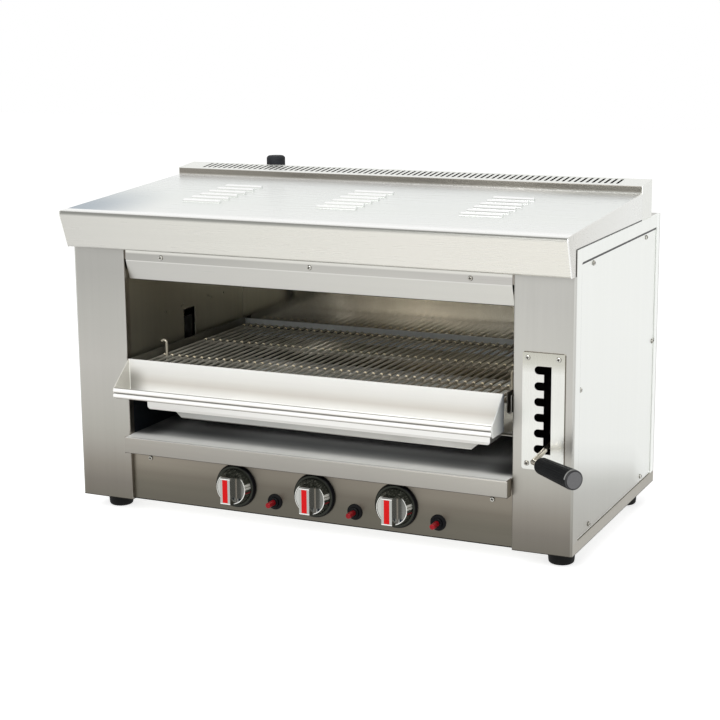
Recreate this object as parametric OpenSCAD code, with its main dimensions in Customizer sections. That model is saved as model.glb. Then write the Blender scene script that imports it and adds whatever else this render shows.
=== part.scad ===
// Three-burner gas cheese melter: a stainless casing round an open cavity, infrared burners
// above, a rack that a side lever raises and lowers through a notched gate, and slide-out
// trays. Millimetres. X runs left to right, Y runs from the front to the back, Z is up.
// Inside the modules Y = 0 is the front face of the columns and Z = 0 the casing's underside.

/* [Casing] */
// Overall width of the casing
body_w = 900; // [860:10:1200]
// Depth of the side casings
body_d = 469; // [460:1:570]
// Height of the side casings above their underside
side_h = 483; // [470:1:580]
// Width of each front column
column_w = 100; // [98:1:130]
// Thickness of the stainless sheet
sheet = 1.2; // [0.8:0.1:1.5]
// Inside radius of a bend in the sheet
bend_r = 1.6; // [1:0.1:2.5]
// Clearance between pieces that are fitted by hand
fit_gap = 0.2; // [0.1:0.05:0.3]

/* [Side covers] */
// Rim of the side casing in front of the cover
rim_front = 26.5; // [20:0.5:40]
// Rim above the cover
rim_top = 22; // [18:0.5:40]
// Rim below the cover
rim_bottom = 19; // [16:0.5:40]
// Rim behind the cover
rim_rear = 18; // [16:0.5:40]
// Depth of the cover's outer face behind the rim
cover_recess = 2; // [1.5:0.1:4]

/* [Top] */
// Fall of the fascia's lower edge below the side casings' top
fascia_drop = 40; // [25:1:50]
// Overhang of the fascia's lower edge
fascia_low_out = 20; // [15:1:30]
// Rise of the fascia's upper edge above the side casings' top
fascia_rise = 24; // [18:1:32]
// Overhang of the fascia's upper edge
fascia_top_out = 43; // [35:1:60]
// Distance from the front of the flue channel back to the rear of the casing
flue_from_rear = 112; // [104:1:130]
// Rise of the sloping top above the side casings' top where it meets the flue channel
top_rise = 46; // [36:1:52]
// Height of the flue channel above the sloping top
flue_h = 13; // [10:1:30]
// Rise of the flue channel's top from its front edge to its rear edge
flue_rise = 5.5; // [0:0.5:8]
// Depth of the flue channel, front to back
flue_d = 59; // [54:1:66]
// Number of slots along the flue channel
flue_slots = 76; // [20:1:84]
// Width of one flue slot
flue_slot_w = 4.6; // [3:0.1:6]
// Length of one flue slot
flue_slot_l = 40; // [20:1:44]
// Length of one louvre
louvre_l = 72; // [40:1:100]
// Distance between louvres, front to back
louvre_pitch = 30; // [24:1:34]
// Distance between the groups of louvres
louvre_group_pitch = 255; // [180:1:300]
// Height of a louvre above the top
louvre_h = 4.2; // [3:0.1:6]

/* [Header] */
// Fall of the crease between header strip and burner shield below the side casings' top
header_drop = 61; // [54:1:70]
// Height of the burner shield
shield_h = 34; // [28:1:42]
// Depth by which the shield's lower edge is set back
shield_back = 11; // [6:1:18]

/* [Rack] */
// Height of the rack's wires above the lift shaft at the lowest setting
grid_rise = 9.75; // [6:0.25:13]
// Number of long wires
grid_wires = 45; // [20:1:56]
// Radius of a long wire
wire_r = 2; // [1.5:0.1:2.2]
// Radius of a cross wire
cross_wire_r = 2.4; // [2:0.1:2.6]
// Number of cross wires
cross_wires = 3; // [2:1:8]
// Gap between a column and the rack
rack_gap = 10; // [8:0.5:30]
// Height of the trough's back wall above the rack's wires
trough_rise = 11.5; // [7:0.5:17]
// Forward reach of the trough's lip
trough_reach = 66; // [60:1:85]
// Gap between a rack rail and the drip pan's front
pan_gap = 27; // [25:0.5:60]
// Fall of the drip pan's well below the rack's wires
pan_drop = 97.5; // [92:0.5:106]

/* [Crumb tray] */
// Height of the crumb tray's deck
tray_top_z = 117.7; // [112:0.1:122]
// Height of the crumb tray's front lip
tray_lip_h = 28.5; // [20:0.5:34]
// Overhang of the crumb tray's lip
tray_out = 20; // [12:1:28]

/* [Controls] */
// Setback of the control panel's face
panel_y = 8; // [6:0.5:12]
// Height of the knob centres
knob_z = 47; // [40:1:50]
// Distance between knobs
knob_pitch = 148; // [130:1:190]
// Radius of a knob
knob_r = 30.5; // [24:0.5:37]
// Width of the black collar round a knob
collar_w = 7; // [3.6:0.1:9]
// Travel of a knob when it is pushed in
knob_push = 4; // [2:0.5:4]
// Height of the igniter centres
igniter_z = 27; // [22:0.5:30]
// Sideways distance from a knob to its igniter
igniter_off = 73; // [60:1:85]
// Radius of an igniter button
button_r = 4.7; // [3.5:0.1:6]
// Travel of an igniter button
button_push = 5; // [3:0.5:6]

/* [Lift] */
// Height of the lift shaft
shaft_z = 233.75; // [226:0.25:282]
// Distance from the lift shaft back to the rear of the casing
shaft_from_rear = 29; // [26:1:34]
// Length of the lift arms
arm_l = 225; // [215:1:235]
// Half of the angle through which the lever bar turns
lift_half = 8.07; // [6:0.01:8.2]
// Number of notches in the gate
notches = 6; // [3:1:6]
// Radius of the lever rod
rod_r = 4.3; // [3:0.1:4.3]
// Sideways swing of the rod from the channel into a notch
rod_swing = 14; // [12:0.5:15]
// Running clearance of a shaft or pin in its bore, on the radius
running = 0.05; // [0.02:0.01:0.08]
// Radius of the lever grip
grip_r = 15.6; // [13:0.2:17]
// Length of the lever grip
grip_l = 91; // [80:1:130]
// Number of flutes round the grip
grip_flutes = 20; // [8:1:24]

/* [Feet] */
// Height of the rubber feet
foot_h = 31; // [22:1:45]
// Radius of a foot at its top
foot_r = 23; // [20:0.5:26]

/* [Hidden] */
$fn = 48;
bend_steps = 6;

STEEL = [0.78, 0.78, 0.76];
BRIGHT = [0.86, 0.86, 0.84];
DULL = [0.55, 0.54, 0.51];
BLACK = [0.08, 0.08, 0.08];
RED = [0.75, 0.08, 0.08];
BRASS = [0.75, 0.60, 0.30];
CERAMIC = [0.85, 0.78, 0.66];

half_w = body_w / 2;
fascia_low_z = side_h - fascia_drop;
fascia_top_z = side_h + fascia_rise;
flue_foot_z = side_h + top_rise;
flue_top_z = flue_foot_z + flue_h;
flue_y = body_d - flue_from_rear;
header_crease_z = side_h - header_drop;
shield_low_z = header_crease_z - shield_h;
shaft_y = body_d - shaft_from_rear;  // axis of the lift shaft
open_w = half_w - column_w;          // half of the opening between the columns
return_d = 13;                       // depth of the column's folded-back edge
wall_x = open_w + sheet;             // cavity face of an inner wall
wall_out = wall_x + sheet;           // housing face of an inner wall
rear_in = body_d - 2 * sheet;        // front face of the rear panel
back_wall_y = shaft_y - 23.6;        // front face of the cavity's back wall
base_top = 2 * sheet;
flange_w = 18;                       // width of the casing's bottom and rear flanges
wall_top = side_h - sheet - fit_gap;
inside_front = sheet + bend_r + fit_gap;

// Side cover and its opening, as [y, z] corners
cover_low = [rim_front, rim_bottom];
cover_high = [body_d - rim_rear, side_h - rim_top];
cover_gap = 1;                       // gap round the cover's edge
cover_land = 16;                     // width of the land behind the cover's edge
land_x = half_w - cover_recess - 2 * sheet;

// Fasteners
screw_r = 2;
screw_hole_r = screw_r + 0.15;
head_r = 3.9;
head_h = 2.4;
side_screws = [
    [cover_low[0] + 64, cover_high[1] - 10], [cover_high[0] - 62, cover_high[1] - 10],
    [cover_high[0] - 8, shaft_z + 27], [cover_low[0] + 8, shaft_z + 27],
    [cover_high[0] - 62, cover_low[1] + 10], [cover_low[0] + 64, cover_low[1] + 10]
];
header_screws = [72 - open_w, 0, open_w - 72];
header_screw_z = header_crease_z + 8;
panel_screws_x = [-open_w + 35, open_w - 35];
panel_screw_z = tray_top_z - tray_lip_h - 12;
rear_screw_z = [40, side_h / 2, side_h - 40];
rear_screw_x = half_w - flange_w / 2 - 2;

// Sloping top
top_slope = atan((flue_foot_z - fascia_top_z) / (flue_y + fascia_top_out));
function top_at(y) = fascia_top_z + (y + fascia_top_out) * tan(top_slope);
cheek_x = half_w - sheet;            // outer face of the top cover's cheeks
fascia_r = 5.5;                      // inside radius of the fascia's bends
louvre_first_y = 92;
louvre_rows = 6;
louvre_d = 9;                        // depth of a louvre's hood

// Lift
shaft_r = 8;
press = 0.02;                        // clearance of a hub fixed on its shaft
bearing_r = 12;                      // bearing's seat in the inner wall
arm_rise = 7.6;                      // angle by which the arms lead the lever bar
arm_rest = lift_half - arm_rise;     // fall of the arms below level at rest
arm_pin = [shaft_y - arm_l * cos(arm_rest), shaft_z - arm_l * sin(arm_rest)];
pin_r = 5;
link_up = 45;                        // height of the level-keeping links above the arms
coupler_x = wall_out + 1.6;
coupler_t = 4;
arm_x = coupler_x + coupler_t + 1;
arm_t = 5;
lift_rise = arm_l * (sin(2 * lift_half - arm_rest) + sin(arm_rest));
lift_shift = arm_l * (cos(arm_rest) - cos(2 * lift_half - arm_rest));
slot_low = [arm_pin[0] - 20, arm_pin[1] - 11];
slot_high = [arm_pin[0] + 20, arm_pin[1] + lift_rise + 9];
stub = [22, 12];                     // depth and height of the stub through the wall slot

// Gate and lever
channel_mid = half_w - 43;           // middle of the gate's channel
channel_w = 12;
rod_x = channel_mid - 1.5;
gate_t = 1.5;
gate_foot = 35.25;                   // plate below the lowest notch
gate_head = 26.75;                   // plate above the highest notch
function gate_z(a) = shaft_z + (shaft_y + gate_t / 2) * tan(a);
gate_low = [half_w - 84, gate_z(-lift_half) - gate_foot];
gate_high = [half_w - 14.5, gate_z(lift_half) + gate_head];
gate_corner_r = 4;
notch_h = 13;
notch_drop = 1.6;                    // notch centres below the rod's centre line
notch_end_x = rod_x - rod_swing - rod_r - 1.5;
gate_screws = [
    [gate_low[0] + 8.4, gate_high[1] - 9.5], [gate_high[0] - 11.2, gate_high[1] - 9.5],
    [gate_low[0] + 8.4, gate_low[1] + 9.5], [gate_high[0] - 11.2, gate_low[1] + 9.5]
];
clevis_l = 250;                      // shaft to clevis pin
ear_gap = 5.3;                       // half of the clevis's gap
rod_bend_1 = [rod_x, -8, gate_z(-lift_half) - 8 * tan(lift_half)];
grip_aim = [cos(38.9), -sin(38.9), 0];
grip_start = [rod_x + 10.3, -57.6, rod_bend_1[2] - 9.2];
rod_bend_2 = grip_start - 20 * grip_aim;
grip_end = grip_start + grip_aim * grip_l;
cap_t = 3;                           // thickness of the grip's end cap
cap_edge = 0.8;                      // chamfer round the cap
grip_cap_r = grip_r - 0.5;               // radius of the cap
grip_taper_r = 2.4;                      // how much thinner the grip is at the rod

// Rack
grid_z = shaft_z + grid_rise;
rail_x = open_w - rack_gap;          // inner face of a rack rail
rail_gap = 6;                        // clear width of the rail's channel
rail_out = rail_x + rail_gap + 2 * sheet;
rail_top = grid_z + 7.5;
rail_low = rail_top - 30;
rack_rear = back_wall_y - lift_shift - 3;
ledge_z = grid_z - 7.3;              // top of the ledge that carries the grid
ledge_w = 14;
side_rod_r = 3;
side_rod_x = rail_x - 7;
cross_z = ledge_z + 0.3 + side_rod_r;
grid_pitch = 2 * (side_rod_x - 6) / (grid_wires - 1);
trough_y = -13;                      // front face of the trough's back wall
trough_top_z = grid_z + trough_rise;
trough_t = 1.5;
trough_h = 60;                       // back wall's top to the trough's underside
step_r = 4.4;                        // rolled steps on the trough's lip
step_pitch = 9.1;
trough_lip_h = 20;                   // underside to the lip's top
grid_front = trough_y + trough_t;
grid_rear = rack_rear - 8;
cross_first = 85;                    // depth of the first cross wire
cross_in = 22;                       // last cross wire to the grid's rear end
cross_pitch = (grid_rear - cross_first - cross_in) / (cross_wires - 1);
hook_x = side_rod_x - 6 - grid_pitch / 2;
hook_r = 2.2;
hook_h = 30;

// Drip pan
pan_half = rail_x - pan_gap;
pan_low_z = grid_z - pan_drop;
pan_floor_z = pan_low_z + 21;
pan_rim_z = pan_floor_z + 13;
pan_rim_x = rail_x - 4;
pan_rear = rack_rear - 17;
pan_well_y = [37, pan_rear - 16];
runner_x = rail_x + 2;
runner_z = pan_rim_z - 0.3;          // top of the runner that carries the pan's rim

// Crumb tray and floor
floor_z = tray_top_z - 1.5 - sheet;  // underside of the cavity floor

// Header
header_y = 2;                        // front face of the header strip
header_half = open_w - 3;

// Burners
burner_side = 5;                     // gap between a column and the outer burner
burner_pitch = 2 * (open_w - burner_side) / 3;
burner_w = burner_pitch - 15;
burner_y = [36, back_wall_y - 26.4];
burner_low_z = shield_low_z + 17;
burner_top_z = header_crease_z + 24;
tube_z = burner_low_z + 20;
tube_r = 13;
plaque_t = 12;

// Gas
pipe_r = 13.35;
elbow_r = 16.5;
inlet_x = -half_w + 162;
inlet_y = shaft_y + 5;
pipe_x = -half_w + 45;
inlet_top = flue_top_z + 13;
inlet_elbow_z = side_h - 22;
cap_r = 17.5;
cap_h = 24;
manifold_y = 76;
manifold_half = 15;
feed_r = 4;
feed_y = shaft_y + 16.5;
feed_z = knob_z + 29;

// Controls
knob_mid = 1.5;                      // middle knob to the right of the casing's middle
knob_x = [knob_mid - knob_pitch, knob_mid, knob_mid + knob_pitch];
burner_x = [-burner_pitch, 0, burner_pitch];
spindle_r = 4;
plug_r = 7;
valve_r = 13;
collar_r = knob_r + collar_w;
knob_rear = 6;                       // gap from the panel to a knob's rear face
knob_h = 16;                         // rear face to front face
grip_bar = [18.5, 47, 19];           // width, length and height of the knob's grip bar
grip_taper = 0.8;                    // spread of the bar's sides at the face
stripe = [9.7, 39.6, 0.8];             // the coloured strip let into the bar
button_out = 27;
button_in = 8;                       // seat of a button behind the panel's face
barrel_r = 8;

// Feet
foot_hole_r = 4.3;
foot_in = [37, 62, 54];              // foot centres from the casing's sides, front and rear
foot_tip_r = 21;                     // radius of a foot at the floor, before its rounding
foot_round = 5;

// The origin lies under the middle of the whole object, on the floor
x_high = grip_end[0] + cap_t * grip_aim[0] + (grip_cap_r - cap_edge) * abs(grip_aim[1]);
x_low = -half_w + cover_recess - head_h;
y_low = grip_end[1] + (cap_t - cap_edge) * grip_aim[1] - grip_cap_r * abs(grip_aim[0]);
origin_x = (x_low + x_high) / 2;
origin_y = (y_low + body_d + head_h) / 2;

// ---- helpers ---------------------------------------------------------------------------

module placed() {
    translate([-origin_x, -origin_y, foot_h]) children();
}

// Sweeps a [y, z] outline along X, or an [x, z] outline along Y
module along_x(low, high) {
    translate([low, 0, 0]) rotate([90, 0, 90]) linear_extrude(high - low) children();
}
module along_y(low, high) {
    translate([0, high, 0]) rotate([90, 0, 0]) linear_extrude(high - low) children();
}

// A box between two corners
module block(low, high) {
    translate(low) cube(high - low);
}

// A round bar from one point to another
module bar(a, b, r) {
    v = b - a;
    translate(a)
        rotate([0, acos(v[2] / norm(v)), atan2(v[1], v[0])])
            cylinder(r = r, h = norm(v));
}

module on_both_sides() {
    children();
    mirror([1, 0, 0]) children();
}

// Folded sheet: a path with a bend of the inside radius bend_r at each corner
function unit(v) = v / norm(v);
function turned(v, a) = [v[0] * cos(a) - v[1] * sin(a), v[0] * sin(a) + v[1] * cos(a)];
function bend_at(a, b, c, r) =
    let (from = unit(b - a), to = unit(c - b),
        angle = atan2(from[0] * to[1] - from[1] * to[0], from * to),
        side = sign(angle),
        start = b - from * r * tan(abs(angle) / 2),
        centre = start + turned(from, 90) * side * r)
    [for (i = [0:bend_steps])
        let (n = turned(turned(from, 90), angle * i / bend_steps)) [centre - n * side * r, n]];
function folded(path, r) =
    let (last = len(path) - 1)
    concat(
        [[path[0], turned(unit(path[1] - path[0]), 90)]],
        [for (i = [1:last - 1]) each bend_at(path[i - 1], path[i], path[i + 1], r)],
        [[path[last], turned(unit(path[last] - path[last - 1]), 90)]]);
module folded_sheet(path, r = bend_r, t = sheet) {
    line = folded(path, r + t / 2);
    polygon(concat(
        [for (s = line) s[0] + s[1] * t / 2],
        [for (i = [len(line) - 1:-1:0]) line[i][0] - line[i][1] * t / 2]));
}

module rounded_plate(low, high, r) {
    translate([low[0] + r, low[1]]) square([high[0] - low[0] - 2 * r, high[1] - low[1]]);
    translate([low[0], low[1] + r]) square([high[0] - low[0], high[1] - low[1] - 2 * r]);
    for (x = [low[0] + r, high[0] - r], y = [low[1] + r, high[1] - r])
        translate([x, y]) circle(r = r);
}

// A pan-head screw that stands on the plane z = 0 and points down
module pan_screw(l = 8) {
    difference() {
        union() {
            rotate_extrude() polygon(concat([[0, 0], [head_r, 0]],
                [for (a = [0:15:90])
                    [head_r - 1.2 + 1.2 * cos(a), head_h - 1.2 + 1.2 * sin(a)]],
                [[0, head_h]]));
            translate([0, 0, -l]) cylinder(r = screw_r, h = l + 0.2, $fn = 24);
        }
        for (a = [0, 90]) rotate([0, 0, a])
            translate([-0.45, -2.2, head_h - 1.1]) cube([0.9, 4.4, 2]);
    }
}

// ---- casing ----------------------------------------------------------------------------

module base_pan() {
    front_in = return_d + sheet + 0.2;
    x_in = wall_x + fit_gap;
    x_out = half_w - sheet - fit_gap;
    color(DULL) placed() difference() {
        translate([0, 0, sheet]) linear_extrude(sheet) polygon([
            [-x_out, inside_front], [-x_in, inside_front], [-x_in, front_in],
            [x_in, front_in], [x_in, inside_front], [x_out, inside_front],
            [x_out, rear_in - fit_gap], [-x_out, rear_in - fit_gap]]);
        at_feet() cylinder(r = foot_hole_r, h = 12, center = true);
    }
}

module at_feet() {
    for (x = [-half_w + foot_in[0], half_w - foot_in[0]])
        for (y = [foot_in[1], body_d - foot_in[2]])
            translate([x, y, 0]) children();
}

module feet() {
    color(BLACK) placed() at_feet() rotate_extrude() polygon(concat(
        [[foot_hole_r, 0], [foot_r, 0], [foot_r, -3]],
        [for (a = [0:15:90]) [foot_tip_r - foot_round * (1 - cos(a)),
            -foot_h + foot_round * (1 - sin(a))]],
        [[9, -foot_h], [9, -foot_h + 14], [foot_hole_r, -foot_h + 14]]));
}

module foot_bolts() {
    color(BRIGHT) placed() at_feet() {
        translate([0, 0, -foot_h + 8.8]) cylinder(r = 7.5, h = 5.2, $fn = 6);
        translate([0, 0, -foot_h + 13]) cylinder(r = 4, h = foot_h - 13 + 12, $fn = 24);
        translate([0, 0, base_top]) difference() {
            cylinder(r = 7.5, h = 6.5, $fn = 6);
            translate([0, 0, -1]) cylinder(r = 3.6, h = 9, $fn = 24);
        }
    }
}

module side_casing() {
    bent = bend_r + sheet / 2;
    difference() {
        union() {
            // Front column and outer side, folded from one sheet
            linear_extrude(side_h) folded_sheet([
                [open_w + sheet / 2, return_d + sheet], [open_w + sheet / 2, sheet / 2],
                [half_w - sheet / 2, sheet / 2], [half_w - sheet / 2, body_d]]);
            // Step round the cover and the land that carries it
            translate([half_w - cover_recess - sheet, 0, 0]) rotate([90, 0, 90])
                linear_extrude(cover_recess + sheet / 2) difference() {
                    ring_plate(sheet);
                    ring_plate(0);
                }
            translate([land_x, 0, 0]) rotate([90, 0, 90]) linear_extrude(sheet)
                ring_plate(sheet);
            block([wall_out, sheet / 2, side_h - sheet], [half_w - sheet / 2, rear_in + sheet, side_h]);
            block([half_w - flange_w, sheet / 2, 0], [half_w - sheet / 2, rear_in + sheet, sheet]);
            block([wall_out, sheet / 2, 0], [half_w - sheet / 2, flange_w, sheet]);
            block([half_w - flange_w, rear_in + sheet, 0], [half_w - sheet / 2, body_d, side_h]);
        }
        translate([half_w - cover_recess - sheet, 0, 0]) rotate([90, 0, 90])
            linear_extrude(cover_recess + 2 * sheet) ring_plate(0);
        translate([land_x - 1, 0, 0]) rotate([90, 0, 90]) linear_extrude(cover_recess + 4)
            ring_plate(-cover_land);
        at_side_screws() cylinder(r = screw_hole_r, h = 14, center = true, $fn = 24);
        at_rear_screws() cylinder(r = screw_hole_r, h = 14, center = true, $fn = 24);
        at_feet() cylinder(r = foot_hole_r, h = 8, center = true);
    }
}

// The cover's opening in the [y, z] plane, grown by a margin
module ring_plate(grow) {
    rounded_plate([cover_low[0] - grow, cover_low[1] - grow],
        [cover_high[0] + grow, cover_high[1] + grow], 4);
}

module at_side_screws() {
    for (p = side_screws)
        translate([half_w - cover_recess, p[0], p[1]]) rotate([0, 90, 0]) children();
}

module at_rear_screws() {
    for (z = rear_screw_z) translate([rear_screw_x, body_d, z]) rotate([-90, 0, 0]) children();
}

module side_casing_left() {
    color(STEEL) placed() mirror([1, 0, 0]) side_casing();
}

module side_casing_right() {
    color(STEEL) placed() difference() {
        side_casing();
        // Window behind the gate plate
        block([notch_end_x - 5, -5, gate_z(-lift_half) - 14],
            [channel_mid + channel_w / 2 + 4, 5, gate_z(lift_half) + 14]);
        at_gate_screws() cylinder(r = screw_hole_r, h = 12, center = true, $fn = 24);
    }
}

module side_cover() {
    difference() {
        translate([half_w - cover_recess - sheet, 0, 0]) rotate([90, 0, 90])
            linear_extrude(sheet) ring_plate(-cover_gap);
        at_side_screws() cylinder(r = screw_hole_r, h = 14, center = true, $fn = 24);
    }
}
module side_cover_left() {
    color(STEEL) placed() mirror([1, 0, 0]) side_cover();
}
module side_cover_right() {
    color(STEEL) placed() side_cover();
}

module panel_screws() {
    color(BRIGHT) placed() {
        on_both_sides() {
            at_side_screws() pan_screw();
            at_rear_screws() pan_screw();
        }
        at_header_screws() pan_screw(6);
        at_control_screws() pan_screw();
        at_gate_screws() pan_screw(5);
    }
}

module inner_wall() {
    // Each hole's depth, and its height above the lift shaft
    holes = [[134, 76], [188, 78], [196, 81], [284, 81], [295, 76], [344, 77]];
    difference() {
        block([wall_x, inside_front, base_top], [wall_out, rear_in - fit_gap, wall_top]);
        block([wall_x - 1, slot_low[0], slot_low[1]], [wall_out + 1, slot_high[0], slot_high[1]]);
        translate([wall_x - 1, shaft_y, shaft_z]) rotate([0, 90, 0]) cylinder(r = bearing_r, h = 4);
        for (h = holes) translate([wall_x - 1, h[0], shaft_z + h[1]]) rotate([0, 90, 0])
            cylinder(r = 2, h = 4, $fn = 16);
    }
}
module inner_wall_left() {
    color(DULL) placed() difference() {
        mirror([1, 0, 0]) inner_wall();
        for (p = [[manifold_y, knob_z], [inlet_y, inlet_elbow_z]])
            translate([-wall_out - 1, p[0], p[1]]) rotate([0, 90, 0])
                cylinder(r = pipe_r + 1, h = 4);
    }
}
module inner_wall_right() {
    color(DULL) placed() inner_wall();
}

module cavity_back_wall() {
    color(DULL) placed() difference() {
        block([-wall_x, back_wall_y, floor_z + sheet],
            [wall_x, back_wall_y + sheet, wall_top - sheet]);
        for (x = burner_x) translate([x, back_wall_y - 1, tube_z]) rotate([-90, 0, 0])
            cylinder(r = tube_r + 1, h = 4);
    }
}

module cavity_floor() {
    color(DULL) placed()
        block([-wall_x, return_d + sheet + 0.2, floor_z], [wall_x, back_wall_y + sheet, floor_z + sheet]);
}

module rear_panel() {
    x_out = half_w - sheet - fit_gap;
    color(DULL) placed() difference() {
        along_x(-x_out, x_out) folded_sheet([[rear_in + sheet / 2, base_top],
            [rear_in + sheet / 2, side_h - sheet - fit_gap - sheet / 2],
            [flue_y + flue_d + fit_gap, side_h - sheet - fit_gap - sheet / 2]]);
        on_both_sides() {
            block([wall_x - fit_gap, flue_y, side_h - 20], [wall_out + fit_gap, rear_in, side_h]);
            at_rear_screws() cylinder(r = screw_hole_r, h = 14, center = true, $fn = 24);
        }
        translate([inlet_x, inlet_y, side_h - 10]) cylinder(r = pipe_r + 1, h = 20);
    }
}

// ---- top -------------------------------------------------------------------------------

module louvre_hood() {
    rise = [for (i = [0:8]) let (a = i * 11.25)
        [louvre_d * (1 - cos(a)), louvre_h * sin(a)]];
    inner = [for (i = [8:-1:0]) let (a = i * 11.25)
        [louvre_d - (louvre_d - sheet) * cos(a), (louvre_h - sheet) * sin(a)]];
    along_x(-louvre_l / 2, louvre_l / 2) polygon(concat(rise, inner));
    for (x = [-louvre_l / 2, louvre_l / 2 - sheet])
        along_x(x, x + sheet) polygon(concat(rise, [[louvre_d, -0.2], [0, -0.2]]));
}

module at_louvres() {
    for (g = [-1:1], i = [0:louvre_rows - 1])
        translate([g * louvre_group_pitch + 5, louvre_first_y + i * louvre_pitch,
            top_at(louvre_first_y + i * louvre_pitch)])
            rotate([top_slope, 0, 0]) children();
}

module top_cover() {
    half_t = sheet / 2;
    color(STEEL) placed() {
        difference() {
            along_x(-cheek_x + sheet, cheek_x - sheet) folded_sheet([
                [-fascia_low_out + 12, fascia_low_z + half_t],
                [-fascia_low_out, fascia_low_z + half_t],
                [-fascia_top_out, fascia_top_z - half_t],
                [flue_y - fit_gap, flue_foot_z - half_t]], r = fascia_r);
            at_louvres() translate([-louvre_l / 2 + sheet, sheet, -4])
                cube([louvre_l - 2 * sheet, louvre_d - sheet, 8]);
        }
        at_louvres() louvre_hood();
        on_both_sides() along_x(cheek_x - sheet, cheek_x) polygon([
            [-fascia_low_out, fascia_low_z], [-0.3, fascia_low_z],
            [-0.3, side_h], [flue_y - fit_gap, side_h], [flue_y - fit_gap, flue_foot_z],
            [-fascia_top_out + 5, fascia_top_z], [-fascia_top_out + 1.6, fascia_top_z - 1.6],
            [-fascia_top_out + 0.8, fascia_top_z - 6]]);
    }
}

module flue_grille() {
    slot_span = 2 * half_w - 98;
    pitch = slot_span / (flue_slots - 1);
    half_t = sheet / 2;
    y_mid = flue_y + flue_d / 2;
    color(STEEL) placed() {
        difference() {
            union() {
                along_x(-cheek_x + sheet, cheek_x - sheet) folded_sheet([
                    [flue_y + half_t, side_h], [flue_y + half_t, flue_top_z - half_t],
                    [flue_y + flue_d - half_t, flue_top_z + flue_rise - half_t],
                    [flue_y + flue_d - half_t, side_h]]);
                on_both_sides() along_x(cheek_x - sheet, cheek_x) polygon([
                    [flue_y, side_h], [flue_y + flue_d, side_h],
                    [flue_y + flue_d, flue_top_z + flue_rise], [flue_y, flue_top_z]]);
            }
            for (i = [0:flue_slots - 1])
                translate([-slot_span / 2 + i * pitch, y_mid, flue_top_z - 4]) {
                    translate([-flue_slot_w / 2, -(flue_slot_l - flue_slot_w) / 2, 0])
                        cube([flue_slot_w, flue_slot_l - flue_slot_w, flue_rise + 8]);
                    for (s = [-1, 1]) translate([0, s * (flue_slot_l - flue_slot_w) / 2, 0])
                        cylinder(r = flue_slot_w / 2, h = flue_rise + 8, $fn = 16);
                }
        }
    }
}

// ---- header ----------------------------------------------------------------------------

module at_header_screws() {
    for (x = header_screws)
        translate([x, header_y, header_screw_z]) rotate([90, 0, 0]) children();
}

module header_panel() {
    half_t = sheet / 2;
    color(STEEL) placed() difference() {
        along_x(-header_half, header_half) folded_sheet([
            [header_y + 14, side_h - 16], [header_y + half_t, side_h - 16],
            [header_y + half_t, header_crease_z],
            [header_y + half_t + shield_back, shield_low_z + half_t],
            [header_y + half_t + shield_back + 9, shield_low_z + half_t + 2]]);
        at_header_screws() cylinder(r = screw_hole_r, h = 12, center = true, $fn = 24);
    }
}

// ---- controls --------------------------------------------------------------------------

module at_control_screws() {
    for (x = panel_screws_x)
        translate([x, panel_y, panel_screw_z]) rotate([90, 0, 0]) children();
}

module control_panel() {
    half_t = sheet / 2;
    color(DULL) placed() difference() {
        along_x(-open_w + fit_gap, open_w - fit_gap) folded_sheet([
            [return_d + 17, half_t], [panel_y + half_t, half_t],
            [panel_y + half_t, floor_z - half_t], [return_d + 17, floor_z - half_t]]);
        at_control_screws() cylinder(r = screw_hole_r, h = 6, center = true, $fn = 24);
        at_knobs() cylinder(r = plug_r + 3, h = 12, center = true);
        at_igniters() cylinder(r = barrel_r + 0.2, h = 12, center = true);
    }
}

// Knob and igniter axes: local Z points out of the panel
module at_knob(i) {
    translate([knob_x[i], panel_y, knob_z]) rotate([90, 0, 0]) children();
}
module at_knobs() {
    for (i = [0:2]) at_knob(i) children();
}
module at_igniter(i) {
    translate([knob_x[i] + igniter_off, panel_y, igniter_z]) rotate([90, 0, 0]) children();
}
module at_igniters() {
    for (i = [0:2]) at_igniter(i) children();
}

module knob_collars() {
    rim_in = knob_r + 0.8;
    color(BLACK) placed() at_knobs() rotate_extrude() polygon([
        [plug_r + 3, 0], [collar_r, 0], [collar_r, 2.5], [collar_r - 1.5, 6.5],
        [collar_r - 2.6, 7.2], [rim_in, 7.2], [rim_in, 1.6], [plug_r + 3, 1.6]]);
}

module knob(i) {
    top = knob_rear + knob_h;
    half_bar = grip_bar[0] / 2;
    color(BRIGHT) placed() at_knob(i) {
        rotate_extrude() polygon([
            [0, knob_rear], [knob_r - 1, knob_rear], [knob_r, knob_rear + 1],
            [knob_r - 0.4, knob_rear + 5], [knob_r - 3, top - 1.6], [knob_r - 3.6, top - 0.6],
            [knob_r - 4.6, top - 0.6], [knob_r - 5.2, top - 1.4], [0, top - 1.4]]);
        difference() {
            rotate([90, 0, 0]) linear_extrude(grip_bar[1], center = true) polygon([
                [-half_bar - grip_taper, top - 2], [half_bar + grip_taper, top - 2],
                [half_bar, top + grip_bar[2]], [-half_bar, top + grip_bar[2]]]);
                for (s = [-1, 1]) translate([0, s * (grip_bar[1] / 2 + 1.5), top + grip_bar[2]])
                rotate([0, 90, 0]) cylinder(r = 3, h = 2 * grip_bar[0], center = true);
            strip(top, 0);
        }
        // Spindle
        translate([0, 0, -24 + knob_push])
            cylinder(r = spindle_r, h = 24 + knob_rear - knob_push + 0.5);
    }
    color(RED) placed() at_knob(i) strip(top, 0.05);
}
// The strip's pocket, or with a gap the strip itself
module strip(top, gap) {
    translate([-stripe[0] / 2 + gap, -stripe[1] / 2 + gap, top + grip_bar[2] - stripe[2] + gap])
        cube([stripe[0] - 2 * gap, stripe[1] - 2 * gap, stripe[2] + (gap > 0 ? 0.1 : 1)]);
}
module knob_1() { knob(0); }
module knob_2() { knob(1); }
module knob_3() { knob(2); }

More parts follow.
